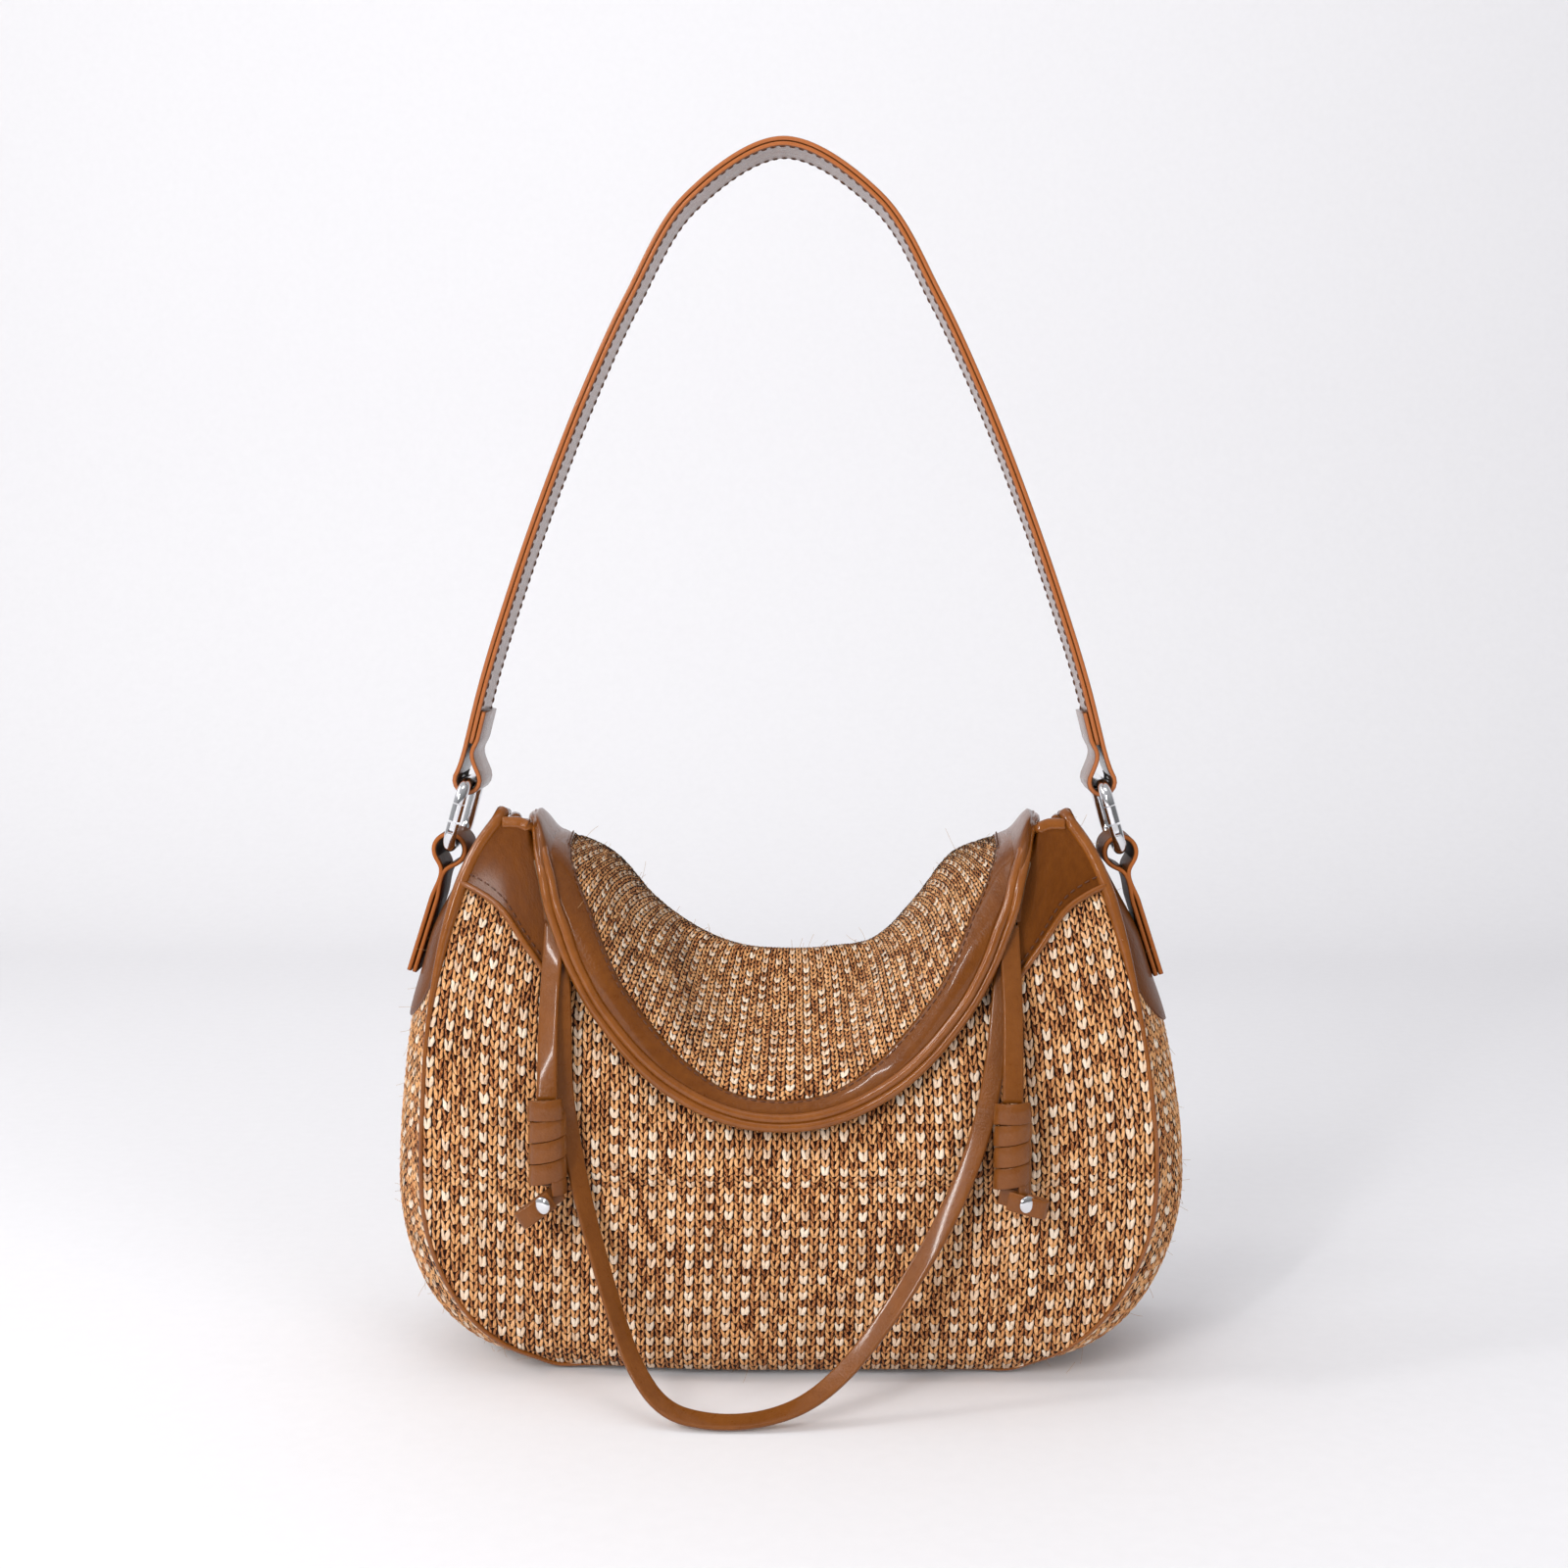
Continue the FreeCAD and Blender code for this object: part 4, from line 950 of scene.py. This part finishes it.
levels = np.concatenate([[8.0], np.linspace(9.0, 226.0, 64)])
rings = np.array([inside_ring(level) for level in levels])
x, z = rings[..., 0], rings[..., 2]
limit = np.where(rings[..., 1] < 0, mouth_height(x, -1), mouth_height(x, 1)) - 1.0
keep = (z <= limit) | (abs(x) > 100)
z = np.where(keep, z, np.maximum(limit, levels[0]))
rings[..., 2] = z
for part, side in ((IN_FRONT, -1), (IN_BACK, 1)):
    rings[:, part] = on_cloth(x[:, part], z[:, part], side, -LINING_INSET)
rings = sunk(rings)
count = rings.shape[1]
faces = grid_faces(len(levels), count, closed=True)
faces = faces[keep.ravel()[faces].any(1)]
u, v = np.meshgrid(np.linspace(0, 640, count), levels)
mesh = [(settled(rings), faces, np.stack([u, v], -1))]
base = rings[0]
mesh.append((settled(np.concatenate([base, base.mean(0)[None]])),
             [[i, (i + 1) % count, count] for i in range(count)],
             np.concatenate([base[:, :2], base.mean(0)[None, :2]])))
piece("cotton_bag", joined(mesh), COTTON, nodes=["lining"])

x, z = np.meshgrid(np.linspace(-58, 58, 40), np.linspace(48, 120, 26))
layers = [sheet(settled(on_cloth(x, z, 1, -inset)), 116, 72) for inset in (8.0, 9.2)]
piece("pocket_cloth", joined(layers), COTTON, nodes=["inner_pocket"])

# ---------------- ring tabs
TAB_WIDTH, TAB_THICK = 24.0, 1.9
RING_LEAN, STRAP_BAR = math.radians(16.0), 27.5    # the ring's tilt, and its height between the bars


def ring_place(height):
    """A place on the right ring's middle line, as (x, z), from its lower bar."""
    return np.array([139.2 - math.sin(RING_LEAN) * height, 216.3 + math.cos(RING_LEAN) * height])


def turned(v):
    """A direction in the side view, a quarter turn on."""
    return np.array([-v[1], v[0]])


def bar_loop(bar, down, thickness, inside, wire=5.0, gap=0.35):
    """Side view of a strip's middle line where it turns round a bar of the ring."""
    middle = bar + down * (inside - wire / 2 - 2 * gap)
    angles = np.radians(np.arange(-120, 121, 10))
    rays = turned(down)[None] * np.sin(angles)[:, None] - down[None] * np.cos(angles)[:, None]
    return middle + rays * (inside + thickness / 2)


TAB_DOWN = np.array([math.sin(math.radians(18)), -math.cos(math.radians(18))])


def side_strip(flat, width, thick, sign, crown=0.0):
    """A leather strip whose side view follows a line of (x, z) points."""
    line = np.stack([flat[:, 0] * sign, np.zeros(len(flat)), flat[:, 1]], -1)
    side = np.broadcast_to([0.0, 1.0, 0.0], line.shape)
    return sweep(line, side, np.cross(tangents(line), side), band_profile(width, thick, crown))


bar, across = ring_place(0), turned(TAB_DOWN)
legs = np.array([bar + TAB_DOWN * reach for reach in (56.0, 42.0, 24.0, 10.3)])
first, last = legs - across * 1.15, legs[::-1] + across * 1.15
loop = bar_loop(bar, TAB_DOWN, TAB_THICK, inside=5.6, gap=0.6)
path = resampled(np.concatenate([first, loop, last]), 1.2)
# the rough flesh side that shows inside the loop; its dark colour is partly the flesh side's own and partly
# painted shade
loop = bar_loop(bar, TAB_DOWN, -0.2, inside=5.6, gap=0.6)
turn = resampled([first[-2] + across * 0.3, first[-1] + across * 0.25, *loop,
                  last[0] - across * 0.25, last[1] - across * 0.3], 1.0)
for hand, sign in HANDS:
    piece(f"tab_leather_{hand}", side_strip(path, TAB_WIDTH, TAB_THICK, sign), TAB_LOOK, "tab",
          [f"ring_tab_{hand}"])
    piece(f"tab_flesh_and_shade_{hand}", side_strip(turn, TAB_WIDTH - 0.4, 0.14, sign), FLESH_AND_SHADE, "tab")

# ---------------- strap
arch = resampled(ARCH + [(-x, z) for x, z in ARCH[-2::-1]], 3.0)
arch_dir = tangents(arch)


def arch_line(depth):
    """The strap's line at a depth below its outer face."""
    return arch + np.stack([-arch_dir[:, 1], arch_dir[:, 0]], 1) * depth


bar = ring_place(STRAP_BAR)
down = unit(arch_line(STRAP_THICK)[0] - bar)
loop = bar_loop(bar, down, STRAP_THICK, inside=4.3)
inside_loop = bar_loop(bar, down, -0.3, inside=4.3)
if loop[0, 0] > loop[-1, 0]:
    loop = loop[::-1]
# the outer layer turns round the bar and ends inside the strap
inner_leg = arch_line(STRAP_THICK * 2.5 + 0.35)
step = unit(inner_leg[1] - inner_leg[0])
fold = np.concatenate([[inner_leg[0] + step * d for d in (14.0, 9.0, 5.0, 2.0)],
                       [arch_line(STRAP_THICK * 2.0 + 0.3)[0] - step * 3.2], loop,
                       [arch_line(STRAP_THICK * 0.5)[0] - step * 3.2]])
outer_path = np.concatenate([fold, arch_line(STRAP_THICK * 0.5)[1:-1], (fold * [-1, 1])[::-1]])
mesh = side_strip(resampled(outer_path, 2.0), STRAP_WIDTH, STRAP_THICK, 1, 0.25)
piece("strap_leather", mesh, STRAP_LOOK, "strap", ["strap_outer"])
# the flesh side inside the strap's loop, dark partly as painted shade
parts = [side_strip(resampled(inside_loop, 1.0), STRAP_WIDTH - 0.4, 0.25, sign) for sign in (1, -1)]
piece("strap_flesh_and_shade", joined(parts), FLESH_AND_SHADE, "strap")
mesh = side_strip(arch_line(STRAP_THICK * 1.5 + 0.1), STRAP_WIDTH, STRAP_THICK, 1)
piece("strap_backing", mesh, STRAP_LOOK, "strap", ["strap_inner"])
x, z = arch_line(STRAP_THICK * 2 + 0.1).T
outward = np.stack([-arch_dir[:, 1], 0 * x, arch_dir[:, 0]], -1)
parts = [stitch_row(np.stack([x, np.full(len(x), y), z], -1), outward, 2.6, 1.2, 0.3, lift=0.1)
         for y in (1.7 - STRAP_WIDTH / 2, STRAP_WIDTH / 2 - 1.7)]
piece("strap_stitches", joined(parts), THREAD, "strap")


# ---------------- lace
def nurbs_line(points, name):
    """The route's NURBS line as evenly spaced points, in millimetres."""
    curve = bpy.data.curves.new(name, "CURVE")
    curve.dimensions = "3D"
    spline = curve.splines.new("NURBS")
    spline.points.add(len(points) - 1)
    for place, point in zip(spline.points, points):
        place.co = (*[c * MM for c in point], 1.0)
    spline.order_u = 3
    spline.use_endpoint_u = True
    spline.resolution_u = 12
    holder = bpy.data.objects.new(name, curve)
    mesh = bpy.data.meshes.new_from_object(holder)
    line = np.array([v.co for v in mesh.vertices]) / MM
    bpy.data.objects.remove(holder)
    bpy.data.meshes.remove(mesh)
    bpy.data.curves.remove(curve)
    return resampled(line, 1.5)


def lace(name, points, up, node):
    """A flat lace along a route; up lists where its face looks, evenly along the way."""
    line = nurbs_line(points, name + "_route")
    up = smooth(np.linspace(0, 1, len(up)), up)(np.linspace(0, 1, len(line)))
    side, normal = frame_along(line, up)
    obj = piece(name, sweep(line, side, normal, band_profile(LACE_WIDTH, LACE_THICK, 0.15)), LACE_LOOK, "bag",
                [node])
    lengths(line)[-1] * MM


front = (0, -1, 0.15)
turning = [(0, -1, 0.2), (0.4, -1, 0.1), (0.8, -0.9, 0.1), (0.75, -0.75, 0.4), (0.15, -0.3, 0.9),
           (-0.45, -0.75, 0.6), (-0.4, -1, 0.1), (-0.2, -1, 0.1), (0, -1, 0.2)]
lace("lace_long", LOOP, turning, "lace_loop")
for hand, sign in HANDS:
    route = [(x * sign, y, z) for x, y, z in TAIL]
    lace(f"lace_end_{hand}", route, [front, (0.25 * sign, -1, 0.1), front], f"lace_tail_{hand}")

# coiled knots: the lace's end wound round it, each turn over the one below
KNOT_X, KNOT_Y = 92.0, -67.0
COIL_TOP, COIL_PITCH, COIL_TURNS, COIL_R = 118.3, 8.6, 4.1, 6.2
RIVET_RADIUS, RIVET_HIGH = 3.6, 1.3


def coil(sign):
    """The wound lace; its first turn starts a little wider and higher."""
    turn = np.linspace(0, COIL_TURNS, 190)
    angle = math.radians(-35) - turn * 2 * math.pi
    x, y = np.cos(angle), np.sin(angle)
    z = COIL_TOP - np.clip(turn - 0.3, 0, 3.45) * COIL_PITCH + 1.2 * ramp(turn, 0.5, 0.0)
    radius = COIL_R + 1.0 * ramp(turn, 0.55, 0.0)
    line = np.stack([KNOT_X * sign + radius * x * 1.04, KNOT_Y + radius * y * 0.9, z], -1)
    side, normal = frame_along(line, np.stack([x, y, 0 * x], -1) + np.array([0, 0, 0.07]))
    return sweep(line, side, normal, band_profile(8.15, 1.6, 0.35, 0.22))


def coil_tip(start, out, up):
    """The lace's tip leaves the coil sideways, folded back on itself."""
    way = [(0, -67.5), (6, -69.5), (12, -71.5), (16.5, -73.0), (18.2, -74.4), (17.2, -76.0), (13.5, -76.2),
           (8, -75.0), (3, -73.6)]
    line = resampled([start + out * d + np.array([0, y, 0]) for d, y in way], 0.8)
    side = np.broadcast_to(up, line.shape)
    return sweep(line, side, unit(np.cross(tangents(line), side)), band_profile(LACE_WIDTH * 0.92, 1.4))


def rivet(centre, facing):
    """A domed head from rings of (share of the radius, share of the height)."""
    rims = [(0.0, -0.6), (0.85, -0.6), (1.0, -0.2), (0.97, 0.25), (0.8, 0.65), (0.5, 0.9), (0.2, 1.0),
            (0.0, 1.02)]
    a = np.linspace(0, 2 * math.pi, 28, endpoint=False)
    x, z = unit(np.cross(facing, [0, 0, 1.0])), np.array([0.0, 0.0, 1.0])
    circle = (x * np.cos(a)[:, None] + z * np.sin(a)[:, None]) * RIVET_RADIUS
    dome = np.array([centre + facing * rise * RIVET_HIGH + circle * reach for reach, rise in rims])
    u, v = np.meshgrid(a, np.arange(len(rims)))
    return dome, grid_faces(*u.shape, closed=True), np.stack([u, v], -1)


# for each hand: the tip's slope in degrees, then the rivet's place along and across it
for (hand, sign), (slope, along, across) in zip(HANDS, ((12.0, 10.5, 0.8), (34.0, 7.0, 0.5))):
    # painted shade: a dark core inside the coil, which shows as dark lines through the gaps between the turns
    core = np.array([(KNOT_X * sign, KNOT_Y, h) for h in np.linspace(89.0, 120.0, 12)])
    piece(f"coil_shade_core_{hand}", tube(core, 5.2, up=(0, -1, 0)), THREAD, "bag")
    piece(f"coil_{hand}", coil(sign), LACE_LOOK, "bag", [f"lace_knot_{hand}"])
    cos, sin = math.cos(math.radians(slope)), math.sin(math.radians(slope))
    out, up = np.array([cos * sign, 0.0, -sin]), np.array([sin * sign, 0.0, cos])
    start = np.array([87.0 * sign, 0.0, 85.5])
    piece(f"coil_tip_{hand}", coil_tip(start, out, up), LACE_LOOK, "bag")
    centre = start + out * along + up * across + np.array([0, -76.2, 0])
    piece(f"rivet_head_{hand}", rivet(centre, unit(np.array([0.45 * sign, -1.0, 0.15]))), METAL, "bag",
          [f"knot_rivet_{hand}"])

# lace keepers
KEEPER_HALF = 5.5
for hand, sign in HANDS:
    x = np.linspace(-KEEPER_HALF, KEEPER_HALF, 15)
    bow = 1.2 * np.cos(x / KEEPER_HALF * math.pi / 2)
    line = np.stack([93.0 * sign + x, -35.8 - bow, 192.6 + 0 * x], -1)
    side, normal = frame_along(line, (0, -1, 0.25))
    piece(f"keeper_{hand}", sweep(line, side, normal, band_profile(7.0, LEATHER)), CARAMEL, "bag",
          [f"lace_keeper_{hand}"])

# ---------------- loose fibres
def fibres(name, roots, directions, body):
    """Thin bent hairs, one from each root."""
    parts = []
    for root, out in zip(roots, directions):
        length = rng.uniform(2.0, 7.0)
        bend = unit(rng.normal(size=3)) * length * rng.uniform(0.2, 0.6)
        t = np.linspace(0, 1, 6)[:, None]
        line = root + out * length * t + bend * t * t
        line[:, 2] = np.maximum(line[:, 2], 0.5)
        side, normal = frame_along(line, unit(rng.normal(size=3)))
        parts.append(sweep(line, side, normal, round_profile(0.07, 3)))
    return piece(name, joined(parts), FIBRE, body)


def scatter(surface_grid, count, flip):
    """Random places on a surface, with a random lean for each."""
    normal = grid_normals(surface_grid) * (-1 if flip else 1)
    i = rng.integers(0, surface_grid.shape[0], count)
    j = rng.integers(0, surface_grid.shape[1], count)
    lean = unit(normal[i, j] + rng.normal(scale=0.8, size=(count, 3)))
    return surface_grid[i, j], lean


s, w = np.meshgrid(np.linspace(20, SEAM_END, 60), np.linspace(-1, 1, 30), indexing="ij")
for hand, sign in HANDS:
    fibres(f"fibres_{hand}", *scatter(placed(gusset_point(s, w), sign), 110, sign < 0), "bag")
x, t = np.meshgrid(np.linspace(-88, 88, 80), np.linspace(0.05, 0.6, 20))
fibres("fibres_flap", *scatter(flap_point(x, t), 120, True), "flap")
x, z = np.meshgrid(np.linspace(-120, 120, 60), np.linspace(5, 100, 40))
fibres("fibres_front", *scatter(settled(on_cloth(x, z, -1)), 120, False), "bag")

# ---------------- CAD pieces that stay
steel = ["snap_socket", "snap_stud"]
steel += [f"{part}_{hand}" for part in ("ring", "ring_gate", "gate_pin", "gate_spring") for hand, _ in HANDS]
for node, look in [(node, METAL) for node in steel] + [("base_board", BOARD)]:
    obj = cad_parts[node]
    obj.data.materials.clear()
    obj.data.materials.append(look)

# ---------------- floor, backdrop and light
# a level floor that curves up into the wall behind the bag
FLOOR_END, BEND = 900.0, 500.0
curve = np.linspace(0, math.pi / 2, 24)[1:]
depth = np.concatenate([np.linspace(-2500, FLOOR_END, 40), FLOOR_END + BEND * np.sin(curve),
                        np.full(12, FLOOR_END + BEND)])
height = np.concatenate([np.zeros(40), BEND * (1 - np.cos(curve)), np.linspace(BEND + 20, 3000, 12)])
xx, yy = np.meshgrid(np.linspace(-2600, 2600, 30), depth)
zz = np.broadcast_to(height[:, None], xx.shape)
floor_look = plain_look("Pale floor", (0.74, 0.735, 0.755), 0.75, spread=0.01)
floor_look.node_tree.nodes["Principled BSDF"].inputs["Specular IOR Level"].default_value = 0.1
floor = add_mesh("floor", np.stack([xx, yy, zz], -1), grid_faces(*xx.shape), np.stack([xx, yy], -1) / 100,
                 floor_look)


def lamp(name, place, target, size, power, colour=(1, 1, 1), seen=True):
    """A rectangular lamp that looks at a target; seen is whether polished faces mirror it."""
    data = bpy.data.lights.new(name, "AREA")
    data.shape = "RECTANGLE"
    data.size, data.size_y = size
    data.energy = power
    data.color = colour
    obj = bpy.data.objects.new(name, data)
    obj.location = place
    aim = Vector(np.array(target) - np.array(place))
    obj.rotation_euler = aim.to_track_quat("-Z", "Y").to_euler()
    obj.visible_glossy = seen
    bpy.context.collection.objects.link(obj)


lamp("sun", (-1.97, -0.60, 1.60), (0, 0, 0.1), (0.30, 0.30), 11, (1.0, 0.985, 0.96))
lamp("window", (-1.1, -1.9, 0.95), (0, 0, 0.15), (1.1, 1.2), 33, (1.0, 0.985, 0.965), seen=False)
lamp("fill", (1.5, -1.8, 0.8), (0, 0, 0.2), (1.0, 1.1), 20, (0.98, 0.985, 1.0), seen=False)
lamp("glint", (-0.75, -1.55, 1.05), (0, 0, 0.15), (0.07, 0.75), 8.0)
lamp("back", (0.0, 0.1, 1.7), (0, 1.4, 0.25), (1.7, 0.9), 7, seen=False)
lamp("ceiling", (0.0, -0.50, 1.9), (0, 0, 0.15), (1.1, 0.35), 2.4)
lamp("panel", (-1.5, 0.1, 1.3), (0, 0, 0.2), (0.8, 0.8), 3.5)
sky = bpy.data.worlds.new("Studio")
bpy.context.scene.world = sky
sky.use_nodes = True
tree = sky.node_tree
direction = tree.nodes.new("ShaderNodeTexCoord").outputs["Generated"]
split = tree.nodes.new("ShaderNodeSeparateXYZ")
tree.links.new(direction, split.inputs[0])
east, north, up = (Maths(tree, socket) for socket in split.outputs)
glow = (up * 0.34).above(0.0) + (east * -0.24).above(0.0) + (north * 0.30).above(0.0) + 0.16
tree.links.new(glow.socket, tree.nodes["Background"].inputs["Strength"])
tree.nodes["Background"].inputs["Color"].default_value = (0.98, 0.982, 1.0, 1.0)
